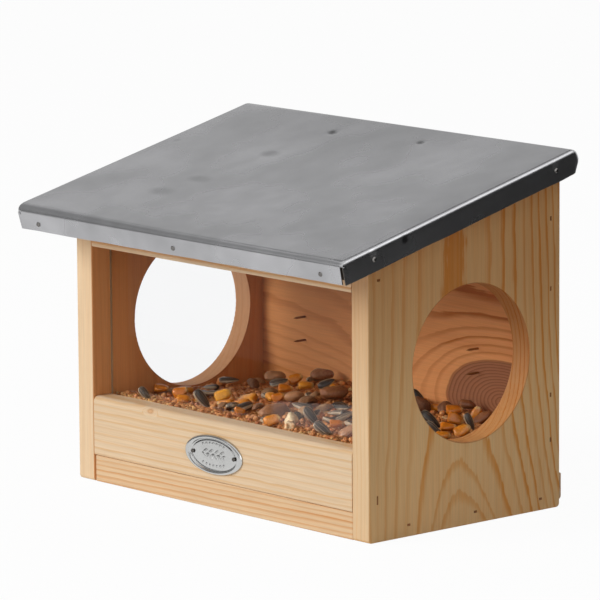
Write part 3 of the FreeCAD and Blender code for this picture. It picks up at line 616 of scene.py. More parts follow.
def wooden_parts():
    """Each board has its own cut of pine."""
    paint("right_side_panel", wood(
        "pine_right_side", "zyx", arched_rings, 1.0, RIGHT_EARLY, RIGHT_LATE,
        rise=0.55, vary=0.12, late_share=1.0, tints=(UPPER_SHADE, FRONT_TINT, EDGE_LIGHT_TINT),
        fades=RIGHT_FADES, rim=RIGHT_BORE_SHADE,
    ))
    paint("left_side_panel", wood(
        "pine_left_side", "zyx", pith_rings((10.0, -160.0), (0.01, 0.03), 3.4, 5.0), 2.0,
        LEFT_EARLY, FRONT_LATE, late_share=0.22, thin_share=0.05, tints=(INSIDE_SHADE,), rim=LEFT_BORE_SHADE,
    ))
    paint("front_lip_board", wood(
        "pine_lip", "xzy", pith_rings((-70.0, -40.0), (0.012, 0.0), 3.6, 3.0), 3.0, LIP_EARLY, LIP_LATE,
        vary=0.4, late_share=0.6, knots=(LIP_KNOT,),
    ))
    paint("floor_board", wood(
        "pine_floor", "xyz", pith_rings((-90.0, -52.0), (0.0, 0.012), 2.5, 2.0), 4.0,
        FLOOR_EARLY, FLOOR_LATE, rise=0.4, vary=0.3,
    ))
    paint("front_top_rail", wood(
        "pine_rail", "xzy", pith_rings((90.0, -30.0), (0.0, 0.0), 3.2, 3.0), 5.0, FRONT_EARLY, FRONT_LATE,
    ))
    paint("back_panel", wood(
        "pine_back", "xzy", sweeping_rings, 6.0, BACK_EARLY, BACK_LATE,
        vary=0.2, late_share=0.95, thin_share=0.08, fades=BACK_FADES, tints=(BACK_INSIDE_SHADE,), knots=(BACK_KNOT,),
    ))
    paint("mounting_batten", wood(
        "pine_batten", "xzy", pith_rings((40.0, 30.0), (0.0, 0.02), 3.4, 5.0), 7.0, FRONT_EARLY, FRONT_LATE,
    ))
    roof_board_piece(wood(
        "pine_roof", "xyz", pith_rings((20.0, 40.0), (0.0, 0.02), 3.6, 6.0), 8.0, FRONT_EARLY, FRONT_LATE,
        # painted shade at the corner behind the front right slit
        rim=SLIT_CORNER_SHADE,
    ))


def metal(name, colour, rough, change, metallic=1.0):
    """Dull metal with blotches and fine grain; change is how much they lighten or darken it."""
    shader = Shader(name)
    spot = shader.spot()
    blotch = shader.noise(spot, 0.06, 4.0, 0.6)
    grain = shader.noise(spot, 1.4, 3.0, 0.6)
    tone = shader.spread(blotch, 1 - change, 1 + change)
    tone = tone * shader.spread(grain, 1 - change / 2, 1 + change / 2)
    shader.look(shader.toned(colour, tone), shader.spread(grain, rough * 0.9, rough * 1.12), metallic)
    return shader.owner


def galvanised_sheet():
    """Zinc-coated sheet: cloudy patches, faint grain, painted shade in dents, painted highlights and a
    smudge on the right flange.
    """
    shader = Shader("galvanised")
    place = shader.place()
    y = place["y"] - ROOF_ORIGIN[1]
    z = place["z"] - ROOF_ORIGIN[2]
    cosine, sine = math.cos(ROOF_TILT), math.sin(ROOF_TILT)
    up = z * sine + y * cosine
    high = y * -sine + z * cosine
    spot = shader.join(place["x"], up, high)
    cloud = shader.noise(spot, 0.024, 2.0, 0.45)
    patch = shader.noise(spot, 0.10, 1.0)
    grain = shader.noise(spot, 1.1, 3.0, 0.6)
    tone = shader.ease(cloud, 0.25, 0.75, 0.90, 1.10)
    tone = tone * shader.ease(patch, 0.25, 0.75, 0.97, 1.03)
    tone = tone * shader.spread(grain, 0.995, 1.005)
    # Painted shade in dents, painted highlights and a smudge
    for mark_x, mark_up, mark_high, stretch, radius, change in SHEET_SHADE_LIGHT_AND_SMUDGES:
        distance = shader.length((place["x"] - mark_x) * stretch, up - mark_up, high - mark_high)
        distance = (grain - 0.5) * (radius * 0.5) + distance
        tone = tone * (shader.ease(distance, radius * 0.25, radius, change, 0.0) + 1.0)
    shader.look(shader.toned(ZINC, tone), shader.ease(cloud, 0.25, 0.75, 0.29, 0.26), 0.95)
    return shader.owner


def metal_parts():
    sheet = galvanised_sheet()
    steel = metal("zinc_steel", (0.42, 0.42, 0.42), 0.38, 0.1)
    dark_steel_and_edge_shade = metal("dull_steel_and_edge_shade", (0.12, 0.11, 0.10), 0.5, 0.2)
    badge = metal("badge_silver", (0.55, 0.55, 0.54), 0.18, 0.05)
    rusty = metal("rusty_steel", (0.30, 0.12, 0.035), 0.5, 0.4, metallic=0.4)
    # The sheet's cut edges take the dark steel: painted shade
    roof_sheet_piece(sheet, dark_steel_and_edge_shade)
    for side in ("left", "right"):
        for part in ("keyhole_plate_", "hinge_body_leaf_", "hinge_roof_leaf_", "hinge_pin_"):
            paint(part + side, steel)
        paint("side_brads_" + side, rusty)
    for node in ("keyhole_screws", "hinge_body_screws", "hinge_roof_screws"):
        paint(node, steel)
    for node in ("lip_staples", "batten_brads"):
        paint(node, rusty)
    paint("roof_flange_nails", metal("nail_steel", (0.22, 0.21, 0.20), 0.35, 0.2))
    badge_piece(badge)
    paint("badge_pins", dark_steel_and_edge_shade)


def window():
    """Clear pane with a thin film of dust."""
    shader = Shader("clear_pane")
    dust = shader.noise(shader.spot(), 0.5, 3.0)
    shader.look((0.99, 0.995, 1.0), shader.ease(dust, 0.4, 0.8, 0.0, 0.012))
    shader.set("Transmission Weight", 1.0)
    shader.set("IOR", 1.3)
    paint("window_pane", shader.owner)
    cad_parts["window_pane"].visible_shadow = False


def seed_facts(shader):
    """Share of a seed's length, turn about it, and the seed's own tone."""
    shape = shader.node("Attribute", attribute_name="seed_shape")
    split = shader.node("SeparateXYZ", shape.outputs["Vector"])
    tone = shader.node("Attribute", attribute_name="seed_tone")
    return (Value(shader, output) for output in (split.outputs[0], split.outputs[1], tone.outputs["Fac"]))


def striped_seed():
    """Black shell with pale stripes from end to end."""
    shader = Shader("sunflower_shell")
    _, turn, tone = seed_facts(shader)
    fine = shader.noise(shader.spot(), 1.4, 3.0)
    away = abs(fine * 0.08 + (turn - 0.04))
    edge = shader.ease(away, 0.70, 0.84)
    line = shader.ease(abs(away - 0.42), 0.03, 0.10, 1.0, 0.0) * tone
    pale = edge.at_least(line)
    shell = shader.mix(tone, (0.030, 0.022, 0.018), (0.085, 0.062, 0.045))
    shader.look(shader.mix(pale, shell, (0.40, 0.30, 0.20)), 0.38)
    shader.bump(pale, 0.2, 0.15)
    return shader.owner


def plain_seed(name, first, second, rough, tip=None, patch=0.35):
    """Seed coat between two colours, with patches and a different tip."""
    shader = Shader(name)
    share, _, tone = seed_facts(shader)
    spot = shader.spot()
    fine = shader.noise(spot, 0.9, 4.0, 0.6)
    blend = tone + (fine - 0.5) * (patch * 4)
    colour = shader.mix(shader.ease(blend, 0.0, 1.0), first, second)
    if tip:
        at_tip = share + (fine - 0.5) * 0.3
        colour = shader.mix(shader.ease(at_tip, 0.66, 0.9), colour, tip)
    shade = shader.spread(shader.noise(spot, 3.0, 3.0), 0.8, 1.1)
    shader.look(shader.toned(colour, shade), rough)
    shader.bump(fine, 0.35, 0.3)
    return shader.owner


def feed_materials():
    maize_tip = (0.62, 0.42, 0.18)
    return {
        "sunflower": striped_seed(),
        "maize": plain_seed("maize", (0.54, 0.15, 0.008), (0.74, 0.33, 0.035), 0.28, maize_tip, 0.3),
        "nut": plain_seed("nut_skin", (0.22, 0.075, 0.026), (0.40, 0.19, 0.085), 0.4),
        "milo": plain_seed("milo", (0.34, 0.10, 0.024), (0.60, 0.26, 0.085), 0.42),
        "wheat": plain_seed("wheat", (0.42, 0.22, 0.08), (0.58, 0.38, 0.19), 0.55),
        "husk": plain_seed("husk", (0.16, 0.06, 0.025), (0.38, 0.21, 0.10), 0.6),
        "popped": plain_seed("popped_maize", (0.56, 0.20, 0.05), (0.76, 0.60, 0.36), 0.45, patch=0.6),
        "millet": plain_seed("millet", (0.45, 0.20, 0.06), (0.62, 0.36, 0.13), 0.4),
        # The bed is darker than the loose seeds: painted shade in the gaps between them
        "bed": plain_seed("feed_ground_painted_shade", (0.16, 0.065, 0.026), (0.30, 0.14, 0.06), 0.7),
    }


def mesh_piece(name, vertices, faces, body, material, smooth=True):
    """New object in the part's frame from points in millimetres."""
    mesh = bpy.data.meshes.new(name)
    mesh.from_pydata([tuple(np.asarray(point) * MM) for point in vertices], [], faces)
    mesh.update()
    if smooth:
        mesh.shade_smooth()
    mesh.materials.append(material)
    piece = add(name, mesh)
    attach(piece, body)
    return piece


def quads(rows, columns, base=0, closed=False):
    """Faces of a grid of points, row by row; closed joins the ends of each row."""
    faces = []
    for low in range(base, base + (rows - 1) * columns, columns):
        high = low + columns
        for column in range(columns if closed else columns - 1):
            after = (column + 1) % columns
            faces.append((low + column, low + after, high + after, high + column))
    return faces


def clean(piece, distance):
    """Join points within a distance in mm, drop loose ones and turn all faces outward."""
    work = bmesh.new()
    work.from_mesh(piece.data)
    bmesh.ops.remove_doubles(work, verts=work.verts, dist=distance * MM)
    loose = [vertex for vertex in work.verts if not vertex.link_faces]
    bmesh.ops.delete(work, geom=loose, context="VERTS")
    bmesh.ops.recalc_face_normals(work, faces=work.faces)
    top = max(work.faces, key=lambda face: face.calc_center_median().z)
    if top.normal.z < 0:
        bmesh.ops.reverse_faces(work, faces=work.faces)
    work.to_mesh(piece.data)
    work.free()


def bell(distance, width):
    return np.exp(-((distance / width) ** 2))


def slope(distance, run):
    """Share from 0 to 1 that grows over a run."""
    return np.clip(distance / run, 0, 1)


def fall(distance, run):
    """Share from 1 to 0 that falls over a run."""
    return np.clip(1 - distance / run, 0, 1)


def waves(points, scale, seed):
    """Smooth noise for each point."""
    return np.array([noise.noise(Vector(point) * scale + Vector((seed, seed, seed))) for point in points])


def roof_place(points):
    """Points in the roof's axes put in the part's frame."""
    cosine, sine = math.cos(ROOF_TILT), math.sin(ROOF_TILT)
    return np.column_stack([
        points[:, 0] + ROOF_ORIGIN[0],
        points[:, 1] * cosine - points[:, 2] * sine + ROOF_ORIGIN[1],
        points[:, 1] * sine + points[:, 2] * cosine + ROOF_ORIGIN[2],
    ])


def roof_board_piece(material):
    """Roof board, with upper edges bevelled to clear the sheet's folds and dents."""
    points = []
    for inset, height in ((CORE_INSET, 0.0), (CORE_INSET, CORE_UPRIGHT), (CORE_TOP_INSET, CORE_TOP)):
        low_x, high_x = -HALF_WIDTH + inset, HALF_WIDTH - inset
        low_y, high_y = inset, ROOF_LENGTH - inset
        for x, y in (
            (low_x, low_y), (high_x - CORE_FRONT_CUT[0], low_y), (high_x, low_y + CORE_FRONT_CUT[1]),
            (high_x, high_y - CORE_REAR_CUT[1]), (high_x - CORE_REAR_CUT[0], high_y), (low_x, high_y),
        ):
            points.append((x, y, height))
    count = len(points) // 3
    faces = [tuple(range(count - 1, -1, -1)), tuple(range(2 * count, 3 * count))]
    faces += quads(3, count, closed=True)
    placed = roof_place(np.array(points))
    piece = mesh_piece("roof_core_board", placed, faces, "roof", material, smooth=False)
    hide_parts("roof_board")


def spaced(low, high, extra=()):
    """Places from low to high, close together at both ends where the sheet bends."""
    fine = np.linspace(0, FRONT_REACH, BEND_STEPS)
    count = int((high - low - 2 * FRONT_REACH) / SHEET_STEP)
    middle = np.linspace(low + FRONT_REACH, high - FRONT_REACH, count)[1:-1]
    places = np.concatenate([low + fine, middle, high - fine, np.array(extra)])
    return np.unique(np.round(places, 4))


def sheet_tray():
    """Points and faces of the sheet with sharp folds: top, four flanges and slit corners."""
    across = spaced(-HALF_WIDTH, HALF_WIDTH, (-REAR_SLIT[1], -REAR_SLIT[0], *REAR_SLIT, SLIT_LOW))
    along = spaced(0, ROOF_LENGTH)
    down = np.unique(np.concatenate([
        ROOF_DEPTH - np.linspace(0, SHEET_BEND, BEND_STEPS),
        [SLIT_TOP],
        np.linspace(0, SLIT_TOP - 0.25, FLANGE_STEPS),
    ]))[::-1]
    vertices = []
    faces = []

    def grid(first, second, point, keep=None):
        new_faces = quads(len(first), len(second), len(vertices))
        vertices.extend(point(a, b) for a in first for b in second)
        for face in new_faces:
            x, _, z = (np.array(vertices[face[0]]) + vertices[face[2]]) / 2
            if keep is None or keep(x, z):
                faces.append(face)

    def front_kept(x, z):
        return z > SLIT_TOP or x < SLIT_LOW

    def rear_kept(x, z):
        return z > SLIT_TOP or not REAR_SLIT[0] < abs(x) < REAR_SLIT[1]

    grid(across, along, lambda x, y: (x, y, ROOF_DEPTH))
    grid(across, down, lambda x, z: (x, 0, z), front_kept)
    grid(across, down, lambda x, z: (x, ROOF_LENGTH, z), rear_kept)
    grid(along, down, lambda y, z: (-HALF_WIDTH, y, z))
    grid(along, down, lambda y, z: (HALF_WIDTH, y, z))
    points = np.array(vertices, dtype=float)
    wedge = (points[:, 0] < SLIT_LOW + 0.01) & (points[:, 2] < SLIT_TOP) & (points[:, 1] < 0.01)
    near = slope(points[:, 0] - SLIT_LOW + SLIT_RUN, SLIT_RUN)
    points[wedge, 0] -= (SLIT_WIDENING * near * (1 - points[:, 2] / SLIT_TOP))[wedge]
    return points, faces


def bend_at(y):
    """Radius of the sheet's bends: wide at the front, tight elsewhere."""
    share = slope(y - 2.0, 3)
    return SHEET_BEND + (SIDE_BEND - SHEET_BEND) * share * share * (3 - 2 * share)


def round_folds(points):
    """Round the tray's folds; its upright corners at the front stay nearly sharp."""
    x, y, z = points.T
    bend = bend_at(y)
    reach = np.where(y < ROOF_LENGTH / 2, FRONT_REACH, SIDE_BEND)
    radii = np.column_stack([bend, reach, bend])
    core = np.column_stack([
        np.clip(x, bend - HALF_WIDTH, HALF_WIDTH - bend),
        np.clip(y, FRONT_REACH, ROOF_LENGTH - SIDE_BEND),
        np.minimum(z, ROOF_DEPTH - bend),
    ])
    out = (points - core) / radii
    out /= np.linalg.norm(out, axis=1)[:, None]
    rounded = core + out * radii
    inset = 1 - np.sqrt(1 - slope(z - core[:, 2], bend) ** 2)
    mitred = np.column_stack([
        np.clip(x, bend * inset - HALF_WIDTH, HALF_WIDTH - bend * inset),
        np.clip(y, reach * inset, ROOF_LENGTH - reach * inset),
        z,
    ])
    corner = (np.abs(x) > HALF_WIDTH - bend) & (y < FRONT_REACH) & (z < ROOF_DEPTH - 0.01)
    share = np.where(z < SLIT_TOP - 0.1, 0.0, CORNER_ROUND)[corner, None]
    rounded[corner] = mitred[corner] * (1 - share) + rounded[corner] * share
    return rounded


def crease(x, y):
    """Depth of the faint winding crease that joins two dents of the top."""
    start = np.array(CREASE_START)
    run = np.array(CREASE_END) - start
    along = ((x - start[0]) * run[0] + (y - start[1]) * run[1]) / (run @ run)
    across = ((x - start[0]) * run[1] - (y - start[1]) * run[0]) / np.hypot(*run)
    across = across + 2.0 * np.sin(along * 9.0)
    ends = slope(along, 0.15) * slope(1 - along, 0.15)
    return CREASE_DEPTH * ends * bell(across, CREASE_WIDTH) * (0.6 + 0.8 * np.sin(along * 14.0) ** 2)


def press(points):
    """Press dents, waves and creases into points of the rounded sheet."""
    x, y, z = points.T
    drop = 0.15 + 0.16 * waves(points, 0.012, 3.0) + 0.03 * waves(points, 0.05, 9.0)
    drop -= REAR_RISE * slope(y - ROOF_LENGTH + REAR_RISE_RUN, REAR_RISE_RUN) ** 2
    drop += RIGHT_DROP * bell(HALF_WIDTH - x, RIGHT_DROP_RUN)
    left = slope(CORNER_LIFT_START - x, CORNER_LIFT_RUN) ** 1.5
    drop -= CORNER_LIFT * left * fall(y, 1.3 * ROOF_LENGTH)
    for dent_x, dent_y, radius, depth in DENTS:
        drop += depth * bell(np.hypot(x - dent_x, y - dent_y), radius)
    drop += crease(x, y)
    shaped = points.copy()
    shaped[:, 2] -= drop * slope(z - ROOF_DEPTH + SHEET_BEND, SHEET_BEND)

    low = fall(z, ROOF_DEPTH - SHEET_BEND)
    push = np.clip(0.15 + 0.3 * waves(points, 0.03, 21.0), 0, FLANGE_PUSH) * low
    front = fall(y, FLANGE_RUN)
    rear = fall(ROOF_LENGTH - y, FLANGE_RUN)
    side = fall(HALF_WIDTH - np.abs(x), FLANGE_RUN)
    shaped[:, 1] += push * front
    shaped[:, 1] -= push * rear
    shaped[:, 0] -= np.sign(x) * push * side
    shaped[:, 0] -= CORNER_TUCK[0] * side * (x < 0) * bell(y, CORNER_TUCK[1])
    rim = fall(z, 2.5)
    shaped[:, 2] += rim * (0.15 + 0.25 * waves(points, 0.06, 33.0))

    tuck = slope(x - 112, REAR_TUCK_RUN) * slope(y - ROOF_LENGTH + 14, REAR_TUCK_RUN)
    tuck = tuck * fall(z, ROOF_DEPTH)
    shaped[:, 0] -= REAR_TUCK[0] * tuck
    shaped[:, 1] -= REAR_TUCK[1] * tuck
    shaped[:, 1] += REAR_BULGE * slope(x - 113, 10) * rear * bell(z - 6.0, 4.5)
    return shaped


def thicken(piece, edge_shade_material):
    """Give the sheet its thickness, with its cut edges in a dark material: painted shade."""
    solid = piece.modifiers.new("thickness", "SOLIDIFY")
    solid.thickness = SHEET_THICKNESS * MM
    solid.offset = -1
    # painted shade on the cut edges
    piece.data.materials.append(edge_shade_material)
    solid.material_offset_rim = 1
    solid_form = piece.evaluated_get(bpy.context.evaluated_depsgraph_get())
    thick = bpy.data.meshes.new_from_object(solid_form)
    piece.modifiers.clear()
    piece.data = thick
    thick.set_sharp_from_angle(angle=math.radians(45))


def roof_sheet_piece(material, edge_shade_material):
    """The folded roof sheet, bent and dented."""
    points, faces = sheet_tray()
    placed = roof_place(press(round_folds(points)))
    placed[:, 2] = np.minimum(placed[:, 2], ROOF_TOP_LIMIT)
    piece = mesh_piece("folded_roof_sheet", placed, faces, "roof", material)
    clean(piece, 0.01)
    thicken(piece, edge_shade_material)
    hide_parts("roof_sheet")


def badge_height(u, v, edge, radius):
    """Relief of the badge: rim, two rows of beads, a stem and its leaves."""
    height = 0.35 + 0.3 * (1 - radius ** 2)
    height += 1.0 * np.clip(1 - ((edge - 0.95) / 0.95) ** 2, 0, 1) ** 0.5
    height -= 0.2 * bell(edge - 2.2, 0.35)
    for row in (-1, 1):
        for index in range(BEADS):
            share = (index - 3) / 3
            spot = np.hypot((u - share * 8.0) * 0.8, v - row * (5.7 - 1.0 * share ** 2)) / 0.62
            height += 0.55 * np.clip(1 - spot ** 2, 0, 1)
    height += 0.3 * bell(v, 0.35) * np.clip((9.0 - np.abs(u)) * 2, 0, 1)
    for index in range(LEAVES):
        leaf_u = -7.6 + index * 4.2
        for row in (-1, 1):
            run = 0.8 * (u - leaf_u) + 0.6 * row * v
            wide = -0.6 * (u - leaf_u) + 0.8 * row * v
            shape = ((run - 2.0) / 2.0) ** 2 + (wide / 0.95) ** 2
            height += 0.8 * np.clip(1 - shape, 0, 1) ** 0.6 - 0.2 * bell(wide, 0.2) * (shape < 1)
    return np.clip(height, 0.02, BADGE_RELIEF_TOP)


def badge_piece(material):
    """Oval badge with its relief in front and a flat back."""
    angle = np.linspace(0, 2 * math.pi, BADGE_TURNS, endpoint=False)
    radius, angle = np.meshgrid(np.linspace(0, 1, BADGE_RINGS), angle, indexing="ij")
    u = radius * np.cos(angle) * BADGE_HALF[0]
    v = radius * np.sin(angle) * BADGE_HALF[1]
    height = badge_height(u, v, (1 - radius) * BADGE_HALF[1], radius)
    vertices = np.column_stack([
        (BADGE_CENTRE[0] + u).ravel(), (BADGE_CENTRE[1] - height).ravel(), (BADGE_CENTRE[2] + v).ravel(),
    ])
    back = len(vertices)
    outer = vertices[-BADGE_TURNS:].copy()
    outer[:, 1] = BADGE_CENTRE[1]
    faces = quads(BADGE_RINGS + 1, BADGE_TURNS, closed=True)
    faces.append(tuple(range(back, back + BADGE_TURNS)))
    vertices = np.vstack([vertices, outer])
    piece = mesh_piece("oval_badge", vertices, faces, "box", material)
    clean(piece, 0.002)
    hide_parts("badge_plate")


def feed_surface(x, y):
    """Wanted height of the heap at places on the floor."""
    total = np.zeros_like(x, dtype=float)
    weights = np.zeros_like(x, dtype=float)
    for spot_x, spot_y, height in FEED_HEIGHTS:
        weight = 1 / (((x - spot_x) ** 2 + (y - spot_y) ** 2) + HEIGHT_BLUR) ** 1.5
        total += weight * height
        weights += weight
    return total / weights


def lump(kind, rings, turns, form):
    """Closed seed form about the X axis, with (length share, turn, side) for its material."""
    half, _, _, amount, fine = FEED_KINDS[kind]
    blunt = 0.8 if kind == "maize" else 1.0
    points = [(-half[0] * blunt, 0, 0)]
    facts = [(0.0, 0.0, 0.0)]
    for ring in range(1, rings):
        share = ring / rings
        bend = math.cos(math.pi * share)
        girth = math.sin(math.pi * share)
        for turn in range(turns):
            angle = 2 * math.pi * turn / turns
            wide = math.cos(angle)
            tall = math.sin(angle)
            facts.append((share, wide, tall))
            girth_here = girth
            lift = 0.0
            uneven = noise.noise(Vector((bend, wide, tall)) * fine + Vector((form * 7.3, 5, 9)))
            if kind == "sunflower":
                girth_here = girth ** 0.8 * (1.12 - 0.75 * share)
                wide *= 1.25
                tall *= 1.15
            elif kind == "maize":
                square = (abs(wide) ** 3.5 + abs(tall) ** 3.5) ** (-1 / 3.5)
                girth_here = girth ** 0.42 * (1.0 - 0.6 * share ** 1.4)
                wide *= square
                tall *= square * (0.85 + 0.1 * share)
            elif kind == "nut":
                girth_here = girth ** 0.8 * (1.05 - 0.25 * share)
                uneven += 0.3 * noise.noise(Vector((bend * 1.5, wide * 4, tall * 4 + form)))
            elif kind == "husk":
                girth_here = girth ** 0.7
                lift = half[2] * (1.0 - 1.6 * bend * bend - 0.8 * wide * wide)
            girth_here *= 1 + amount * uneven
            points.append((
                -half[0] * bend, half[1] * girth_here * wide, half[2] * girth_here * tall + lift * girth,
            ))
    points.append((half[0], 0, 0))
    facts.append((1.0, 0.0, 0.0))
    faces = quads(rings - 1, turns, 1, closed=True)
    last = len(points) - 1
    for turn in range(turns):
        after = (turn + 1) % turns
        faces.append((0, 1 + after, 1 + turn))
        faces.append((last - turns + turn, last - turns + after, last))
    return np.array(points), np.array(facts), faces


def unit(vector, across=(0.0, 0.0, 0.0)):
    """Unit vector along a vector, made square to another unit vector."""
    vector = np.array(vector, dtype=float)
    vector = vector - np.array(across) * (vector @ across)
    return vector / np.linalg.norm(vector)


def lying_axes(yaw, normal, roll):
    """Axes of a seed that lies on a slope."""
    up = unit(normal)
    ahead = unit((math.cos(yaw), math.sin(yaw), 0.0), up)
    left = np.cross(up, ahead)
    turned_left = left * math.cos(roll) + up * math.sin(roll)
    turned_up = up * math.cos(roll) - left * math.sin(roll)
    return np.column_stack([ahead, turned_left, turned_up])


def hand_placed():
    """Seeds that show in the window and in the right entry."""
    found = {kind: [] for kind in FEED_KINDS}
    for kind, seeds_of_kind in HAND_PLACED.items():
        for place, (ahead, up), size, tone in seeds_of_kind:
            ahead = unit(ahead)
            up = unit(up, ahead)
            axes = np.column_stack([ahead, np.cross(up, ahead), up])
            found[kind].append((axes, np.array(place, dtype=float), size, tone))
    return found


def stamp(level, xs, ys, place, radius, rise):
    """Raise the heap's level where a seed lies."""
    i0, i1 = np.searchsorted(xs, (place[0] - radius, place[0] + radius))
    j0, j1 = np.searchsorted(ys, (place[1] - radius, place[1] + radius))
    here = level[i0:i1, j0:j1]
    away = np.hypot(xs[i0:i1, None] - place[0], ys[None, j0:j1] - place[1]) / radius
    dome = place[2] + rise * np.sqrt(np.clip(1 - away ** 2, 0, 1))
    here[away < 1] = np.maximum(here, dome)[away < 1]


def settle(rng):
    """Lay seeds one by one on the heap, as (axes, place, size, tone) by kind."""
    xs = np.arange(-FEED_X + FEED_CELL / 2, FEED_X, FEED_CELL)
    ys = np.arange(FEED_Y[0] + FEED_CELL / 2, FEED_Y[1], FEED_CELL)
    grid_x, grid_y = np.meshgrid(xs, ys, indexing="ij")
    wanted = feed_surface(grid_x, grid_y) - 1.0
    level = wanted - BED_DROP
    found = hand_placed()
    kept_clear = []
    for kind, seeds_of_kind in found.items():
        for _, place, size, _ in seeds_of_kind:
            stamp(level, xs, ys, place, FEED_KINDS[kind][0][1] * size, -9.0)
            kept_clear.append(place[:2])
    kept_clear = np.array(kept_clear)
    for kind, (half, number, spread, _, _) in FEED_KINDS.items():
        coarse = kind in COARSE
        for _ in range(number):
            size = 1 + spread * rng.uniform(-1, 1)
            a, b, c = (part * size for part in half)
            yaw = rng.uniform(0, 2 * math.pi)
            reach_x = math.hypot(a * math.cos(yaw), b * math.sin(yaw))
            reach_y = math.hypot(a * math.sin(yaw), b * math.cos(yaw))
            front = FEED_Y[0] + reach_y + (COARSE_SETBACK if coarse else 0.0)
            back = FEED_Y[1] - reach_y
            tries = []
            for _ in range(COARSE_TRIES if coarse else FINE_TRIES):
                x = rng.uniform(-FEED_X + reach_x, FEED_X - reach_x)
                if kind == "millet":
                    y = min(front + rng.exponential(MILLET_SPREAD), back)
                else:
                    y = rng.uniform(front, back)
                i = min(int((x - xs[0]) / FEED_CELL + 0.5), len(xs) - 1)
                j = min(int((y - ys[0]) / FEED_CELL + 0.5), len(ys) - 1)
                gap = wanted[i, j] - level[i, j]
                if coarse and np.hypot(*(kept_clear - (x, y)).T).min() < CLEAR_OF_PLACED:
                    gap = -1.0
                tries.append((gap, x, y, i, j))
            gap, x, y, i, j = max(tries, key=lambda spot: spot[0])
            tone = rng.uniform(0, 1)
            lean = rng.uniform(-0.3, 0.3, 3)
            if gap < LEAST_GAP:
                continue
            if coarse:
                z = wanted[i, j] + 1.5 * rng.uniform(-1, 1) - c * 0.4
            else:
                z = level[i, j] + c * 0.55
            place = np.array((x, y, z))
            found[kind].append((lying_axes(yaw, (lean[0], lean[1], 1.0), lean[2]), place, size, tone))
            stamp(level, xs, ys, place, b * 0.8, c)
    return found


def keep_on_points(mesh, name, kind, field, values):
    """Store values on a mesh's points for its material."""
    attribute = mesh.attributes.new(name, kind, "POINT")
    attribute.data.foreach_set(field, values.astype(np.float32).ravel())


def feed_pieces(materials):
    """Bed of feed with loose seeds of each kind on it."""
    for kind, seeds_of_kind in settle(np.random.default_rng(FEED_SEED)).items():
        rings, turns = COARSE_MESH if kind in COARSE else FINE_MESH
        forms = [lump(kind, rings, turns, form) for form in range(FORMS_OF_KIND)]
        all_points = []
        all_facts = []
        all_faces = []
        for index, (axes, place, size, tone) in enumerate(seeds_of_kind):
            points, facts, faces = forms[index % FORMS_OF_KIND]
            base = len(all_points) * len(points)
            all_points.append(points * size @ axes.T + place)
            all_facts.append(np.column_stack([facts, np.full(len(facts), tone)]))
            all_faces.extend(tuple(corner + base for corner in face) for face in faces)
        piece = mesh_piece("feed_" + kind, np.vstack(all_points), all_faces, "box", materials[kind])
        values = np.vstack(all_facts)
        keep_on_points(piece.data, "seed_shape", "FLOAT_VECTOR", "vector", values[:, :3])
        keep_on_points(piece.data, "seed_tone", "FLOAT", "value", values[:, 3])
        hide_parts("seed_mix")
    feed_bed(materials["bed"])


def feed_bed(material):
    """Closed heap under the loose seeds, darker than them: painted shade in the gaps."""
    rows, columns = BED_POINTS
    xs = np.linspace(-FEED_X, FEED_X, rows)
    ys = np.linspace(FEED_Y[0], FEED_Y[1], columns)
    grid_x, grid_y = np.meshgrid(xs, ys, indexing="ij")
    tops = feed_surface(grid_x, grid_y) - BED_DROP - 0.5
    top = np.column_stack([grid_x.ravel(), grid_y.ravel(), tops.ravel()])
    top[:, 2] += waves(top, 0.35, 5.0) * 1.2
    count = len(top)
    bottom = top.copy()
    bottom[:, 2] = FEED_BOTTOM
    numbers = np.arange(count).reshape(rows, columns)
    border = [*numbers[:-1, 0], *numbers[-1, :-1], *numbers[:0:-1, -1], *numbers[0, :0:-1]]
    faces = quads(rows, columns) + quads(rows, columns, count)
    for vertex, after in zip(border, border[1:] + border[:1]):
        faces.append((vertex, vertex + count, after + count, after))
    piece = mesh_piece("feed_bed", np.vstack([top, bottom]), faces, "box", material)
    clean(piece, 0.002)
    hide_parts("seed_mix")


def seen_directly(shader):
    """1 for rays from the camera, also through glass or off metal, and 0 for spread light."""
    camera, through, mirrored, depth = shader.rays(
        "Is Camera Ray", "Is Transmission Ray", "Is Glossy Ray", "Diffuse Depth")
    return camera.at_least(through).at_least(mirrored) * depth.below(0.5)


def plane(name, corners, shader):
    """Flat piece of the studio."""
    mesh = bpy.data.meshes.new(name)
    mesh.from_pydata(corners, [], [tuple(range(len(corners)))])
    mesh.materials.append(shader.owner)
    return add(name, mesh)


def dark_card(name, corners, level=0.0):
    """Dark studio card that the camera doesn't see."""
    shader = Shader(name)
    shader.look((0.02, 0.02, 0.02), 0.9)
    shader.set("Emission Color", WHITE)
    if name == GRADED_CARD[0]:
        level = shader.ease(shader.place()["y"], GRADED_CARD[1], GRADED_CARD[2], level, GRADED_CARD[3])
    shader.set("Emission Strength", level)
    shader.owner.cycles.emission_sampling = "NONE"
    if name in MIRRORED_CARDS:
        mirrors, = shader.rays("Glossy Depth")
        shader.blend(mirrors.at_most(1.0), shader.node("BsdfTransparent"), shader.surface)
    card = plane(name, corners, shader)
    card.visible_camera = False
    return card


def lamp(name, spot, size, power):
    """Square soft lamp that points at the box."""
    data = bpy.data.lights.new(name, "AREA")
    data.energy = power
    data.size = size
    obj = add(name, data)
    obj.location = spot
    obj.rotation_mode = "QUATERNION"
    obj.rotation_quaternion = (Vector(spot) - CAMERA_TARGET).to_track_quat("Z", "Y")
    return obj


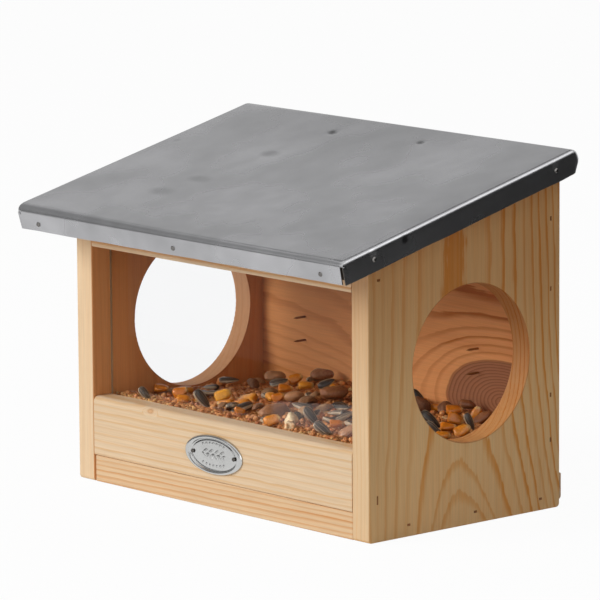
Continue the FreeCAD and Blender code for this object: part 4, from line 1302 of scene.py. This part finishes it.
def studio():
    """Pale floor, white surroundings, soft lamps and mirrored cards."""
    shader = Shader("studio_floor")
    shader.look((0.93, 0.93, 0.93), 0.9)
    shader.set("Specular IOR Level", 0.1)
    shader.blend(seen_directly(shader) * FLOOR_GLOW, shader.surface, shader.node("Emission", WHITE))
    low, high = -FLOOR_REACH, FLOOR_REACH
    corners = ((low, low), (high, low), (high, high), (low, high))
    floor = plane("studio_floor", [(x, y, FLOOR_HEIGHT) for x, y in corners], shader)

    world = Shader("studio", "worlds")
    bpy.context.scene.world = world.owner
    world.owner.cycles.sampling_method = "NONE"
    background = world.nodes["Background"]
    world.feed(background.inputs["Color"], WHITE)
    world.feed(background.inputs["Strength"], seen_directly(world).at_least(WORLD_LIGHT))

    key = lamp("key", (-1.0, -1.8, 1.1), 1.2, KEY_POWER)
    key.visible_glossy = False
    lamp("fill", (1.8, -1.2, 1.0), 1.4, FILL_POWER)
    lamp("top", (0.5, 0.62, 1.5), 0.55, TOP_POWER)
    dark_card("card_right", CARD_RIGHT)
    for name, (level, corners) in MIRRORED_CARDS.items():
        card = dark_card(name, corners, level)
        card.visible_diffuse = False
        card.visible_shadow = False
        card.visible_transmission = name in SEEN_THROUGH_PANE
        card.visible_glossy = name != "card_pane"


def photo_camera():
    """Camera at the photograph's viewing angle."""
    data = bpy.data.cameras.new("photo_camera")
    data.sensor_width = SENSOR_WIDTH
    data.lens = CAMERA_LENS
    data.clip_end = CLIP_END
    camera = add("photo_camera", data)
    azimuth = math.radians(CAMERA_AZIMUTH)
    elevation = math.radians(CAMERA_ELEVATION)
    level = math.cos(elevation)
    back = Vector((math.sin(azimuth) * level, -math.cos(azimuth) * level, math.sin(elevation)))
    roll = Matrix.Rotation(math.radians(CAMERA_ROLL), 4, back)
    upright = back.to_track_quat("Z", "Y").to_matrix().to_4x4()
    camera.matrix_world = Matrix.Translation(CAMERA_TARGET + back * CAMERA_DISTANCE) @ roll @ upright
    bpy.context.scene.camera = camera
    bpy.context.scene.view_settings.view_transform = "Standard"


studio()
photo_camera()
wooden_parts()
metal_parts()
window()
feed_pieces(feed_materials())
